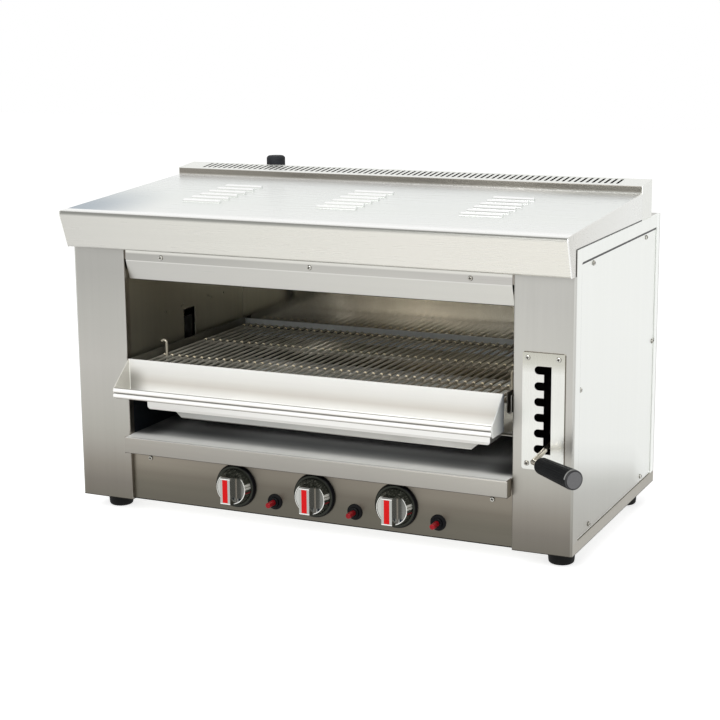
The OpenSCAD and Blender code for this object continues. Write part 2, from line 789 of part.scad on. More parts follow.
module valve_bodies() {
    color(BRASS) placed() at_knobs() difference() {
        union() {
            translate([0, 0, panel_y + manifold_half - manifold_y])
                cylinder(r = valve_r, h = manifold_y - manifold_half - panel_y - 4);
            translate([0, 0, -4]) cylinder(r = valve_r - 4, h = 3.5);
        }
        translate([0, 0, -33]) cylinder(r = plug_r + running, h = 40);
    }
}

module valve_plug(i) {
    color(BRASS) placed() at_knob(i) difference() {
        translate([0, 0, -32.5]) cylinder(r = plug_r, h = 34);
        translate([0, 0, -27]) cylinder(r = spindle_r + running, h = 40);
    }
}
module valve_plug_1() { valve_plug(0); }
module valve_plug_2() { valve_plug(1); }
module valve_plug_3() { valve_plug(2); }

module igniter_bodies() {
    color(BLACK) placed() at_igniters() {
        difference() {
            union() {
                rotate_extrude() polygon([[0, 0], [13.5, 0], [13.5, 1.4], [12.4, 2.6],
                    [9.2, 3.2], [8.6, 6.6], [7.8, 7.2], [0, 7.2]]);
                translate([0, 0, -34]) cylinder(r = barrel_r, h = 34.2);
            }
            translate([0, 0, -button_in - button_push - 1])
                cylinder(r = button_r + running, h = 40);
        }
        translate([0, 0, -sheet - 4]) difference() {
            cylinder(r = 12.5, h = 4, $fn = 6);
            translate([0, 0, -1]) cylinder(r = barrel_r, h = 6);
        }
    }
}

module igniter_button(i) {
    color(RED) placed() at_igniter(i) rotate_extrude() polygon([
        [0, -button_in], [button_r, -button_in], [button_r, button_out - 1.4],
        [button_r - 0.4, button_out - 0.4], [button_r - 1.4, button_out], [0, button_out]]);
}
module igniter_button_1() { igniter_button(0); }
module igniter_button_2() { igniter_button(1); }
module igniter_button_3() { igniter_button(2); }

// ---- burners and gas -------------------------------------------------------------------

module burner_supports() {
    half_t = sheet / 2;
    y_front = header_y + sheet;
    color(DULL) placed() {
        difference() {
            along_x(-wall_x, wall_x) folded_sheet([[y_front + half_t, header_crease_z + 2],
                [y_front + half_t, burner_top_z - half_t], [y_front + 31, burner_top_z - half_t]]);
            at_header_screws() cylinder(r = screw_hole_r, h = 12, center = true, $fn = 24);
            // The columns' folded-back edges
            on_both_sides() block([open_w - fit_gap, -1, 0], [wall_x + 1, return_d + sheet + 0.2, side_h]);
        }
        along_x(-wall_x, wall_x) folded_sheet([[back_wall_y - half_t, burner_top_z + 22],
            [back_wall_y - half_t, burner_top_z - half_t], [back_wall_y - 24, burner_top_z - half_t]]);
    }
}

module burner_housings() {
    half = burner_w / 2;
    color(STEEL) placed() for (x = burner_x) translate([x, 0, 0]) difference() {
        union() {
            block([-half, burner_y[0], burner_low_z], [half, burner_y[1], burner_top_z + sheet]);
            block([-half, burner_y[0] - 20, burner_top_z], [half, burner_y[1] + 18, burner_top_z + sheet]);
            translate([0, burner_y[1] - 2, tube_z]) rotate([-90, 0, 0])
                cylinder(r = tube_r, h = back_wall_y + 14 - burner_y[1]);
        }
        block([-half + sheet, burner_y[0] + sheet, burner_low_z - 1],
            [half - sheet, burner_y[1] - sheet, burner_top_z]);
        translate([0, burner_y[1] - 4, tube_z]) rotate([-90, 0, 0])
            cylinder(r = tube_r - sheet, h = 60);
    }
}

module burner_plaques() {
    half = burner_w / 2 - sheet - 0.3;
    color(CERAMIC) placed() for (x = burner_x)
        block([x - half, burner_y[0] + sheet + 0.3, burner_low_z + 3],
            [x + half, burner_y[1] - sheet - 0.3, burner_low_z + 3 + plaque_t]);
}

module burner_screens() {
    half = burner_w / 2 - 2;
    y_low = burner_y[0] + 2;
    y_high = burner_y[1] - 2;
    z = burner_low_z - 1.5;
    color(DULL) placed() for (x = burner_x) translate([x, 0, 0]) {
        difference() {
            block([-half, y_low, z - 1.5], [half, y_high, z + 1.5]);
            block([-half + 4, y_low + 4, z - 3], [half - 4, y_high - 4, z + 3]);
        }
        for (i = [1:7]) let (u = -half + 2 * half * i / 8)
            block([u - 0.8, y_low + 3, z - 0.8], [u + 0.8, y_high - 3, z + 0.8]);
        for (i = [1:9]) let (v = y_low + (y_high - y_low) * i / 10)
            block([-half + 3, v - 0.8, z - 0.8], [half - 3, v + 0.8, z + 0.8]);
    }
}

// A pilot tube, its bracket and its spark electrode in front of each burner
module pilot_burners() {
    y = burner_y[0];
    color(STEEL) placed() for (x = burner_x) translate([x + 60, 0, 0]) {
        block([-12, y - sheet, burner_low_z + 4], [12, y, burner_low_z + 24]);
        translate([-6, y - sheet - 4, burner_low_z - 4]) cylinder(r = 4, h = 26);
        translate([6, y - sheet - 2.5, burner_low_z - 2]) cylinder(r = 2.5, h = 22);
    }
}

module pipe_run(points, r, joint_r) {
    for (i = [0:len(points) - 2]) bar(points[i], points[i + 1], r);
    for (i = [1:len(points) - 2]) translate(points[i]) sphere(r = joint_r);
}

module gas_inlet_pipe() {
    color(STEEL) placed() pipe_run([
        [inlet_x, inlet_y, inlet_top], [inlet_x, inlet_y, inlet_elbow_z],
        [pipe_x, inlet_y, inlet_elbow_z], [pipe_x, inlet_y, knob_z],
        [pipe_x, manifold_y, knob_z], [-open_w + 30, manifold_y, knob_z]], pipe_r, elbow_r);
}

module gas_manifold() {
    color(STEEL) placed() difference() {
        block([-open_w + 30, manifold_y - manifold_half, knob_z - manifold_half],
            [open_w - 90, manifold_y + manifold_half, knob_z + manifold_half]);
        block([-open_w + 33, manifold_y - manifold_half + 3, knob_z - manifold_half + 3],
            [open_w - 93, manifold_y + manifold_half - 3, knob_z + manifold_half - 3]);
    }
}

module feed_pipes() {
    color(BRASS) placed() for (i = [0:2]) {
        x0 = knob_x[i];
        x1 = burner_x[i];
        valve_y = 40;
        run = concat([[x0, valve_y, knob_z + valve_r], [x0, valve_y, feed_z], [x0, feed_y, feed_z]],
            x0 == x1 ? [] : [[x1, feed_y, feed_z]],
            [[x1, feed_y, tube_z], [x1, feed_y - 12, tube_z]]);
        pipe_run(run, feed_r, feed_r + 1.2);
        // Injector, aimed into the burner's mixing tube
        translate([x1, back_wall_y + 20, tube_z]) rotate([-90, 0, 0]) cylinder(r = 6.5, h = 10);
    }
}

module gas_inlet_cap() {
    color(BLACK) placed() translate([inlet_x, inlet_y, inlet_top + 3 - cap_h]) difference() {
        rotate_extrude() polygon([[0, 0], [cap_r, 0], [cap_r, cap_h - 1], [cap_r - 1, cap_h + 1],
            [cap_r - 3.5, cap_h + 3], [0, cap_h + 3]]);
        translate([0, 0, -1]) cylinder(r = pipe_r + running, h = cap_h - 2);
    }
}

// ---- gate and lever --------------------------------------------------------------------

module at_gate_screws() {
    for (p = gate_screws) translate([p[0], -gate_t, p[1]]) rotate([90, 0, 0]) children();
}

module gate_plate() {
    low = gate_z(-lift_half) - notch_drop - notch_h / 2 - 1;
    high = gate_z(lift_half) - notch_drop + notch_h / 2;
    color(BRIGHT) placed() difference() {
        along_y(-gate_t, 0) rounded_plate(gate_low, gate_high, gate_corner_r);
        block([channel_mid - channel_w / 2, -5, low], [channel_mid + channel_w / 2, 5, high]);
        for (i = [0:notches - 1]) {
            z = gate_z(-lift_half + 2 * lift_half * i / (notches - 1)) - notch_drop;
            block([notch_end_x + notch_h / 2, -5, z - notch_h / 2],
                [channel_mid, 5, z + notch_h / 2]);
            translate([notch_end_x + notch_h / 2, 0, z]) rotate([90, 0, 0])
                cylinder(r = notch_h / 2, h = 8, center = true);
        }
        at_gate_screws() cylinder(r = screw_hole_r, h = 12, center = true, $fn = 24);
    }
}

// The lift turns about the shaft; this stands its pieces at the lowest setting
module on_lever_line() {
    translate([0, shaft_y, shaft_z]) rotate([lift_half, 0, 0]) children();
}

module lever_bar() {
    w = 12;
    h = 18;
    x = rod_x;
    color(STEEL) placed() on_lever_line() difference() {
        union() {
            translate([x - w / 2, 0, 0]) rotate([0, 90, 0]) cylinder(r = 15, h = w);
            block([x - w / 2, -clevis_l + 14, -h / 2], [x + w / 2, -8, h / 2]);
            for (s = [-1, 1]) translate([0, 0, s * (ear_gap + 2.35)])
                block([x - w / 2, -clevis_l - 8, -2.35], [x + w / 2, -clevis_l + 15, 2.35]);
        }
        translate([x - w, 0, 0]) rotate([0, 90, 0]) cylinder(r = shaft_r + press, h = 2 * w);
        translate([x, -clevis_l, 0]) cylinder(r = 3.5, h = 60, center = true);
    }
}

module lever_pin() {
    color(BRIGHT) placed() on_lever_line() translate([rod_x, -clevis_l, 0]) {
        translate([0, 0, -12.5]) cylinder(r = 3.5, h = 25);
        for (s = [-1, 1]) translate([0, 0, s * 11.5]) cylinder(r = 5.5, h = 2.4, center = true);
    }
}

module lever_rod() {
    color(BRIGHT) placed() {
        on_lever_line() difference() {
            translate([rod_x, -clevis_l, -ear_gap + 0.3]) cylinder(r = 8, h = 2 * ear_gap - 0.6);
            translate([rod_x, -clevis_l, 0]) cylinder(r = 3.5 + running, h = 30, center = true);
        }
        difference() {
            bar([rod_x, shaft_y - clevis_l * cos(lift_half), shaft_z - clevis_l * sin(lift_half)],
                rod_bend_1, rod_r);
            on_lever_line() translate([rod_x, -clevis_l, 0]) cylinder(r = 7, h = 30, center = true);
        }
        bar(rod_bend_1, rod_bend_2, rod_r);
        bar(rod_bend_2, grip_end - grip_aim * 2, rod_r);
        for (p = [rod_bend_1, rod_bend_2]) translate(p) sphere(r = rod_r + 0.1);
    }
}

module at_grip() {
    translate(grip_start) rotate([0, 90, atan2(grip_aim[1], grip_aim[0])]) children();
}

module lever_grip() {
    start_r = grip_r - grip_taper_r;
    flute_r = start_r * 3.1416 / grip_flutes * 0.38;
    flute_tilt = atan(grip_taper_r / grip_l);
    color(BLACK) placed() at_grip() difference() {
        rotate_extrude() polygon([[0, 0], [start_r - 3.5, 0], [start_r - 1, 2.2], [start_r, 6],
            [grip_r, grip_l - 2], [grip_r - 0.4, grip_l], [0, grip_l]]);
        translate([0, 0, -1]) cylinder(r = rod_r + press, h = grip_l + 2);
        for (i = [0:grip_flutes - 1]) rotate([0, 0, i * 360 / grip_flutes])
            translate([start_r + 0.3, 0, 7]) rotate([0, flute_tilt, 0])
                cylinder(r = flute_r, h = grip_l - 14, $fn = 16);
    }
}

module grip_cap() {
    color(DULL) placed() at_grip() rotate_extrude() polygon([
        [0, grip_l], [grip_cap_r, grip_l], [grip_cap_r, grip_l + cap_t - cap_edge],
        [grip_cap_r - cap_edge, grip_l + cap_t], [0, grip_l + cap_t]]);
}

// ---- lift ------------------------------------------------------------------------------

module shaft_bearings() {
    color(BRASS) placed() on_both_sides() translate([wall_x - 1, shaft_y, shaft_z])
        rotate([0, 90, 0]) difference() {
            union() {
                cylinder(r = bearing_r - press, h = sheet + 2);
                translate([0, 0, sheet + 1]) cylinder(r = 16, h = 3);
            }
            translate([0, 0, -1]) cylinder(r = shaft_r + running, h = 12);
        }
}

module lift_shaft() {
    color(STEEL) placed() translate([-arm_x - arm_t - 6, shaft_y, shaft_z]) rotate([0, 90, 0])
        cylinder(r = shaft_r, h = arm_x + arm_t + 6 + rod_x + 8);
}

// An arm between a hub on the rear axis and an eye in front, in the [y, z] plane
module arm_plate(rear, front, w, hub_r, eye_r) {
    v = front - rear;
    translate([0, rear[0], rear[1]]) rotate([atan2(v[1], v[0]), 0, 0]) {
        rotate([0, 90, 0]) cylinder(r = hub_r, h = arm_t);
        translate([0, norm(v), 0]) rotate([0, 90, 0]) cylinder(r = eye_r, h = arm_t);
        translate([0, 0, -w / 2]) cube([arm_t, norm(v), w]);
    }
}

module lift_arms() {
    color(STEEL) placed() on_both_sides() difference() {
        union() {
            translate([arm_x, 0, 0]) arm_plate([shaft_y, shaft_z], arm_pin, 18, 15, 11);
            translate([coupler_x + 0.3, arm_pin[0], arm_pin[1]]) rotate([0, 90, 0])
                cylinder(r = pin_r, h = arm_x - coupler_x + 1);
        }
        translate([arm_x - 1, shaft_y, shaft_z]) rotate([0, 90, 0])
            cylinder(r = shaft_r + press, h = arm_t + 2);
    }
}

module link_brackets() {
    y = shaft_y;
    z = shaft_z + link_up;
    color(STEEL) placed() on_both_sides() translate([wall_out, y, z]) rotate([0, 90, 0]) {
        cylinder(r = 12, h = arm_x - wall_out - 0.6);
        cylinder(r = pin_r, h = arm_x - wall_out + arm_t + 2);
    }
}

module upper_links() {
    rear = [shaft_y, shaft_z + link_up];
    front = [arm_pin[0], arm_pin[1] + link_up];
    color(STEEL) placed() on_both_sides() difference() {
        translate([arm_x, 0, 0]) arm_plate(rear, front, 14, 10, 10);
        translate([arm_x - 1, rear[0], rear[1]]) rotate([0, 90, 0])
            cylinder(r = pin_r + running, h = arm_t + 2);
        translate([arm_x - 1, front[0], front[1]]) rotate([0, 90, 0])
            cylinder(r = pin_r + 1, h = arm_t + 2);
    }
}

module couplers() {
    y = arm_pin[0];
    z = arm_pin[1];
    color(STEEL) placed() on_both_sides() difference() {
        union() {
            block([coupler_x, y - 14, z - 13], [coupler_x + coupler_t, y + 14, z + link_up + 13]);
            block([rail_out, y - stub[0] / 2, z - stub[1] / 2],
                [coupler_x + 1, y + stub[0] / 2, z + stub[1] / 2]);
            translate([coupler_x, y, z + link_up]) rotate([0, 90, 0])
                cylinder(r = pin_r, h = arm_x - coupler_x + arm_t + 2);
        }
        translate([coupler_x - 0.1, y, z]) rotate([0, 90, 0])
            cylinder(r = pin_r + running, h = coupler_t + 1);
    }
}

// ---- rack ------------------------------------------------------------------------------

module rack_rail() {
    half_t = sheet / 2;
    ledge_mid = ledge_z - half_t;
    // Channel, open upwards, with a round bottom
    along_y(0, rack_rear) {
        folded_sheet([[rail_x + half_t, rail_top + 3], [rail_x + half_t, rail_low + half_t],
            [rail_out - half_t, rail_low + half_t], [rail_out - half_t, rail_top]],
            r = 2.6);
    }
    // Ledge for the grid
    along_y(10, rack_rear) translate([rail_x - ledge_w, ledge_mid - half_t])
        square([ledge_w + half_t, sheet]);
    // Runner for the drip pan
    along_y(24, rack_rear - 6) {
        translate([runner_x, runner_z - sheet]) square([sheet, rail_low - runner_z + 2 * sheet]);
        translate([runner_x - 26, runner_z - sheet]) square([26 + half_t, sheet]);
    }
}
module rack_rail_left() {
    color(STEEL) placed() mirror([1, 0, 0]) rack_rail();
}
module rack_rail_right() {
    color(STEEL) placed() rack_rail();
}

module rack_cross_bar() {
    color(STEEL) placed()
        block([-rail_x, rack_rear - 14, rail_low + 2], [rail_x, rack_rear - 2, rail_low + 11]);
}

// An upright hook with a curled end, welded to the first cross wire on each side
module grid_hooks() {
    curl_r = 5;
    y = cross_first - cross_wire_r - hook_r + 0.02;
    color(STEEL) placed() on_both_sides() translate([hook_x, y, ledge_z]) {
        cylinder(r = hook_r, h = hook_h, $fn = 24);
        translate([curl_r, 0, hook_h]) rotate([90, 0, 0]) rotate([0, 0, 30])
            rotate_extrude(angle = 150) translate([curl_r, 0]) circle(r = hook_r, $fn = 24);
        translate([0, 0, hook_h]) sphere(r = hook_r + 0.1, $fn = 24);
    }
}

module wire_grid() {
    color(DULL) placed() {
        for (i = [0:grid_wires - 1])
            let (x = -side_rod_x + 6 + i * grid_pitch)
            bar([x, grid_front, grid_z], [x, grid_rear, grid_z], wire_r);
        for (i = [0:cross_wires - 1])
            let (y = cross_first + i * cross_pitch)
            bar([-side_rod_x, y, cross_z], [side_rod_x, y, cross_z], cross_wire_r);
        on_both_sides()
            bar([side_rod_x, grid_front, cross_z], [side_rod_x, grid_rear, cross_z], side_rod_r);
    }
}

module grid_trough() {
    half_t = trough_t / 2;
    lip_y = -trough_reach;
    lip_leg = lip_y + 9;
    low = trough_top_z - trough_h;
    end_in = rail_x - trough_t;
    color(BRIGHT) placed() {
        along_x(-end_in, end_in) folded_sheet([
            [trough_y + half_t, trough_top_z], [trough_y + half_t, low + half_t],
            [lip_leg, low + half_t], [lip_leg, low + trough_lip_h - 2]], r = 9, t = trough_t);
        // Two rolled steps on the lip
        for (i = [0:1]) {
            step_z = low + trough_lip_h - step_r - step_pitch * (1 - i);
            translate([0, lip_y + step_r, step_z]) rotate([0, 90, 0])
                cylinder(r = step_r, h = 2 * end_in, center = true, $fn = 32);
            block([-end_in, lip_y + step_r, step_z - 2.2], [end_in, lip_leg + half_t, step_z + 2.2]);
        }
        on_both_sides() along_x(end_in, rail_x) polygon([
            [grid_front, trough_top_z], [trough_y, trough_top_z],
            [lip_y + 3, low + trough_lip_h - 1], [lip_y + 3, low + 12], [lip_y + 8, low],
            [grid_front, low]]);
    }
}

module drip_pan() {
    half_t = sheet / 2;
    well = [pan_half - 22, pan_half - 46];
    outline = [[-pan_rim_x, pan_rim_z + half_t], [-pan_half + 2, pan_rim_z + half_t],
        [-pan_half + 2, pan_floor_z + half_t], [-well[0], pan_floor_z + half_t],
        [-well[1], pan_low_z + half_t], [well[1], pan_low_z + half_t],
        [well[0], pan_floor_z + half_t], [pan_half - 2, pan_floor_z + half_t],
        [pan_half - 2, pan_rim_z + half_t], [pan_rim_x, pan_rim_z + half_t]];
    shallow = [[-pan_half + 2, pan_rim_z + half_t], [-pan_half + 2, pan_floor_z + half_t],
        [pan_half - 2, pan_floor_z + half_t], [pan_half - 2, pan_rim_z + half_t]];
    end_plate = [[-pan_half + 2, pan_rim_z], [-pan_half + 2, pan_floor_z], [-well[0], pan_floor_z],
        [-well[1], pan_low_z], [well[1], pan_low_z], [well[0], pan_floor_z],
        [pan_half - 2, pan_floor_z], [pan_half - 2, pan_rim_z]];
    color(STEEL) placed() {
        along_y(pan_well_y[0], pan_well_y[1]) folded_sheet(outline);
        along_y(0.6, pan_well_y[0] + 0.6) folded_sheet(shallow);
        along_y(pan_well_y[1] - 0.6, pan_rear) folded_sheet(shallow);
        along_y(pan_well_y[0], pan_well_y[0] + sheet) polygon(end_plate);
        along_y(pan_well_y[1] - sheet, pan_well_y[1]) polygon(end_plate);
        along_y(pan_rear - sheet, pan_rear)
            translate([-pan_half + 2, pan_floor_z]) square([2 * pan_half - 4, pan_rim_z - pan_floor_z]);
        along_y(0, 1.5) rounded_plate([-pan_half, pan_floor_z], [pan_half, pan_rim_z + 8], 6);
    }
}

// ---- crumb tray ------------------------------------------------------------------------

module crumb_tray() {
    half_t = sheet / 2;
    x_out = open_w - 1;
    top = tray_top_z - half_t;
    rear = back_wall_y - 6;
    color(STEEL) placed() {
        along_x(-x_out, x_out) folded_sheet([[-tray_out + 9, tray_top_z - tray_lip_h + half_t],
            [-tray_out + half_t, tray_top_z - tray_lip_h + half_t], [-tray_out + half_t, top],
            [rear, top], [rear, top + 10]]);
        on_both_sides() block([x_out - sheet, -tray_out + half_t, tray_top_z - tray_lip_h],
            [x_out, -0.4, tray_top_z - half_t]);
    }
}

// ---- pieces drawn ----------------------------------------------------------------------

base_pan();
feet();
foot_bolts();
side_casing_left();
side_casing_right();
side_cover_left();
side_cover_right();
panel_screws();
inner_wall_left();
inner_wall_right();
cavity_back_wall();
cavity_floor();
rear_panel();
top_cover();
flue_grille();
header_panel();
control_panel();
gate_plate();
burner_housings();
burner_plaques();
burner_screens();
burner_supports();
pilot_burners();
gas_inlet_pipe();
gas_manifold();
valve_bodies();
feed_pipes();
knob_collars();
igniter_bodies();
shaft_bearings();
link_brackets();
lift_shaft();
lift_arms();
lever_bar();
lever_pin();
lever_rod();
lever_grip();
grip_cap();
couplers();
rack_rail_left();
rack_rail_right();
rack_cross_bar();
grid_hooks();
upper_links();
grid_trough();
wire_grid();
drip_pan();
crumb_tray();
valve_plug_1();
valve_plug_2();
valve_plug_3();
knob_1();
knob_2();
knob_3();
igniter_button_1();
igniter_button_2();
igniter_button_3();
gas_inlet_cap();
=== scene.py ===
import math

import bmesh
import bpy
from mathutils import Matrix, Vector


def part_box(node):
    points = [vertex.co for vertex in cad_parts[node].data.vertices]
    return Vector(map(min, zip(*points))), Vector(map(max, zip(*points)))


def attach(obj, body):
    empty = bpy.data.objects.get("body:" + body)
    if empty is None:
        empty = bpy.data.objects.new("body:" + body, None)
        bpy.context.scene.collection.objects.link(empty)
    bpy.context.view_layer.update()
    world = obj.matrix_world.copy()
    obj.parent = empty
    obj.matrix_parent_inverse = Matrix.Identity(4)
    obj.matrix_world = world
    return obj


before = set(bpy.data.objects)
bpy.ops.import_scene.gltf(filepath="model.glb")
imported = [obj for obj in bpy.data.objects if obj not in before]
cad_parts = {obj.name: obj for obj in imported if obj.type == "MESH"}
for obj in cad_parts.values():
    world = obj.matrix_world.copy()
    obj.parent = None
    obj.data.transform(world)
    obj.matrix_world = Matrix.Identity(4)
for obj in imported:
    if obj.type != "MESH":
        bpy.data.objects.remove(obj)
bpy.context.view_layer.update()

# ---- the casing's zero, which the places below are measured from ---------------------------
#
# It lies in the middle of the casing's width, at its front and at its underside.

left_low, left_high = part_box("side_casing_left")
right_low, right_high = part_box("side_casing_right")
CASING = Vector(((left_low.x + right_high.x) / 2, left_low.y, left_low.z))
HALF_WIDTH = (right_high.x - left_low.x) / 2
DEPTH = left_high.y - left_low.y
HEIGHT = left_high.z - left_low.z
SHEET = 0.0012
CHEEK_INSIDE = 0.4474  # inner face of the top cover's end cheeks, from the middle
KNOB_PITCH = 0.148


def casing_box(node):
    """A node's lowest and highest corners, measured from the casing's zero."""
    low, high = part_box(node)
    return low - CASING, high - CASING


# ---- finishes -------------------------------------------------------------------------------


def linear(level):
    """A screen's level, 0 to 255, as the linear value that a shader takes."""
    level = level / 255
    return level / 12.92 if level <= 0.04045 else ((level + 0.055) / 1.055) ** 2.4


def tint(red, green, blue):
    """A colour given in a screen's levels, 0 to 255."""
    return (linear(red), linear(green), linear(blue))


class Socket:
    """An output of a finish's node. Python arithmetic on it adds Math nodes."""

    def __init__(self, finish, output):
        self.finish = finish
        self.output = output

    def math(self, operation, first, second=0.0):
        return self.finish.node("Math", {"operation": operation}, {0: first, 1: second})

    def __add__(self, other):
        return self.math("ADD", self, other)

    __radd__ = __add__

    def __sub__(self, other):
        return self.math("SUBTRACT", self, other)

    def __rsub__(self, other):
        return self.math("SUBTRACT", other, self)

    def __mul__(self, other):
        return self.math("MULTIPLY", self, other)

    __rmul__ = __mul__

    def __truediv__(self, other):
        return self.math("DIVIDE", self, other)

    def __pow__(self, other):
        return self.math("POWER", self, other)

    def __abs__(self):
        return self.math("ABSOLUTE", self)

    def below(self, limit):
        return self.math("LESS_THAN", self, limit)

    def above(self, limit):
        return self.math("GREATER_THAN", self, limit)

    def between(self, low, high):
        return self.above(low) * self.below(high)

    def repeat(self, pitch):
        """The distance past the last whole pitch."""
        return self.math("FLOORED_MODULO", self, pitch)

    def fade(self, low, high):
        """0 at low, 1 at high, smooth between and level beyond."""
        return self.finish.node(
            "MapRange",
            {"interpolation_type": "SMOOTHSTEP"},
            {"Value": self, "From Min": low, "From Max": high},
        )

    def line(self, middle, half, soft=0.0004):
        """1 within half of the middle, falling to 0 over soft on either side."""
        return 1 - abs(self - middle).fade(half, half + soft)

    def grade(self, *stops):
        """A colour that runs through the stops, each a value of this socket and a colour."""
        first, last = stops[0][0], stops[-1][0]
        span = last - first
        places = [((place - first) / span, colour) for place, colour in stops]
        return self.finish.node("ValToRGB", {"stops": places}, {0: (self - first) / span})


class Finish:
    """A material that feeds a Principled shader; x, y and z run from the casing's zero."""

    def __init__(self, name):
        self.material = bpy.data.materials.new(name)
        self.material.use_nodes = True
        self.tree = self.material.node_tree
        self.shader = self.tree.nodes["Principled BSDF"]
        self.place = self.node("TexCoord", {}, {}, "Object")
        self.spot = self.vector("SUBTRACT", self.place, CASING)
        split = self.tree.nodes.new("ShaderNodeSeparateXYZ")
        self.feed(split.inputs[0], self.spot)
        self.x, self.y, self.z = (Socket(self, output) for output in split.outputs)

    def node(self, kind, settings, inputs, output=0):
        """A node of that type, its settings made first, and then its sockets' values."""
        made = self.tree.nodes.new("ShaderNode" + kind)
        for key, value in settings.items():
            if key == "stops":
                self.set_stops(made.color_ramp, value)
            else:
                setattr(made, key, value)
        for key, value in inputs.items():
            self.feed(made.inputs[key], value)
        return Socket(self, made.outputs[output])

    def set_stops(self, ramp, stops):
        while len(ramp.elements) < len(stops):
            ramp.elements.new(1)
        for element, (position, colour) in zip(ramp.elements, stops):
            element.position = position
            element.color = (*colour, 1)

    def feed(self, socket, value):
        if isinstance(value, Socket):
            self.tree.links.new(value.output, socket)
        elif socket.type == "RGBA":
            socket.default_value = (*value, 1)
        else:
            socket.default_value = value

    def set(self, **values):
        for name, value in values.items():
            self.feed(self.shader.inputs[name.replace("_", " ")], value)

    def vector(self, operation, first, second=(0, 0, 0), output="Vector"):
        return self.node("VectorMath", {"operation": operation}, {0: first, 1: second}, output)

    def mix(self, factor, first, second):
        """The first colour where factor is 0, and the second where it is 1."""
        return self.node("Mix", {"data_type": "RGBA"}, {0: factor, 6: first, 7: second}, 2)

    def layers(self, colour, *coats):
        """Coats over a colour, each a mask and a colour, the last on top."""
        for mask, coat in coats:
            colour = self.mix(mask, colour, coat)
        return colour

    def dimmed(self, colour, factor):
        return self.node("VectorMath", {"operation": "SCALE"}, {0: colour, "Scale": factor})

    def noise(self, scale, stretch=(1, 1, 1), detail=2.0):
        """Noise from 0 to 1 with that many waves to the metre, stretched along the axes."""
        place = self.node(
            "Mapping", {}, {"Vector": self.place, "Scale": [scale * s for s in stretch]}
        )
        return self.node("TexNoise", {}, {"Vector": place, "Scale": 1.0, "Detail": detail})

    def bump(self, height, depth):
        """The normal of a surface raised by height (0 to 1) times depth in metres."""
        return self.node("Bump", {}, {"Height": height, "Distance": depth, "Strength": 1.0})


# How noise is stretched on sheet that is brushed along an axis
ALONG = {"x": (0.012, 1.0, 1.0), "z": (1.0, 1.0, 0.012)}


def brushed(name, along, paint, rough=0.3, streaks=0.08, metal=1.0, depth=0.00001):
    """Stainless sheet brushed along an axis, in the colours that paint lays on it.

    streaks and depth say how much the brushing shows in tone and in relief. metal is a
    number, or a function of the finish where it varies over the sheet.
    """
    finish = Finish(name)
    fine = finish.noise(700, ALONG[along])
    broad = finish.noise(90, ALONG[along], 3.0)
    cloud = finish.noise(5, detail=3.0)
    tone = 1 + streaks * (broad + 0.7 * fine + 0.8 * cloud - 1.25)
    finish.set(
        Base_Color=finish.dimmed(paint(finish), tone),
        Metallic=metal(finish) if callable(metal) else metal,
        Roughness=rough + 0.18 * (fine - 0.5) + 0.12 * (cloud - 0.5),
        Normal=finish.bump(0.6 * fine + 0.4 * broad, depth),
    )
    return finish.material


def plain_sheet(light, dark):
    """Paint for a sheet that shows only soft clouds of a darker tone."""
    return lambda finish: finish.mix(finish.noise(4, detail=3.0).fade(0.3, 0.8), light, dark)


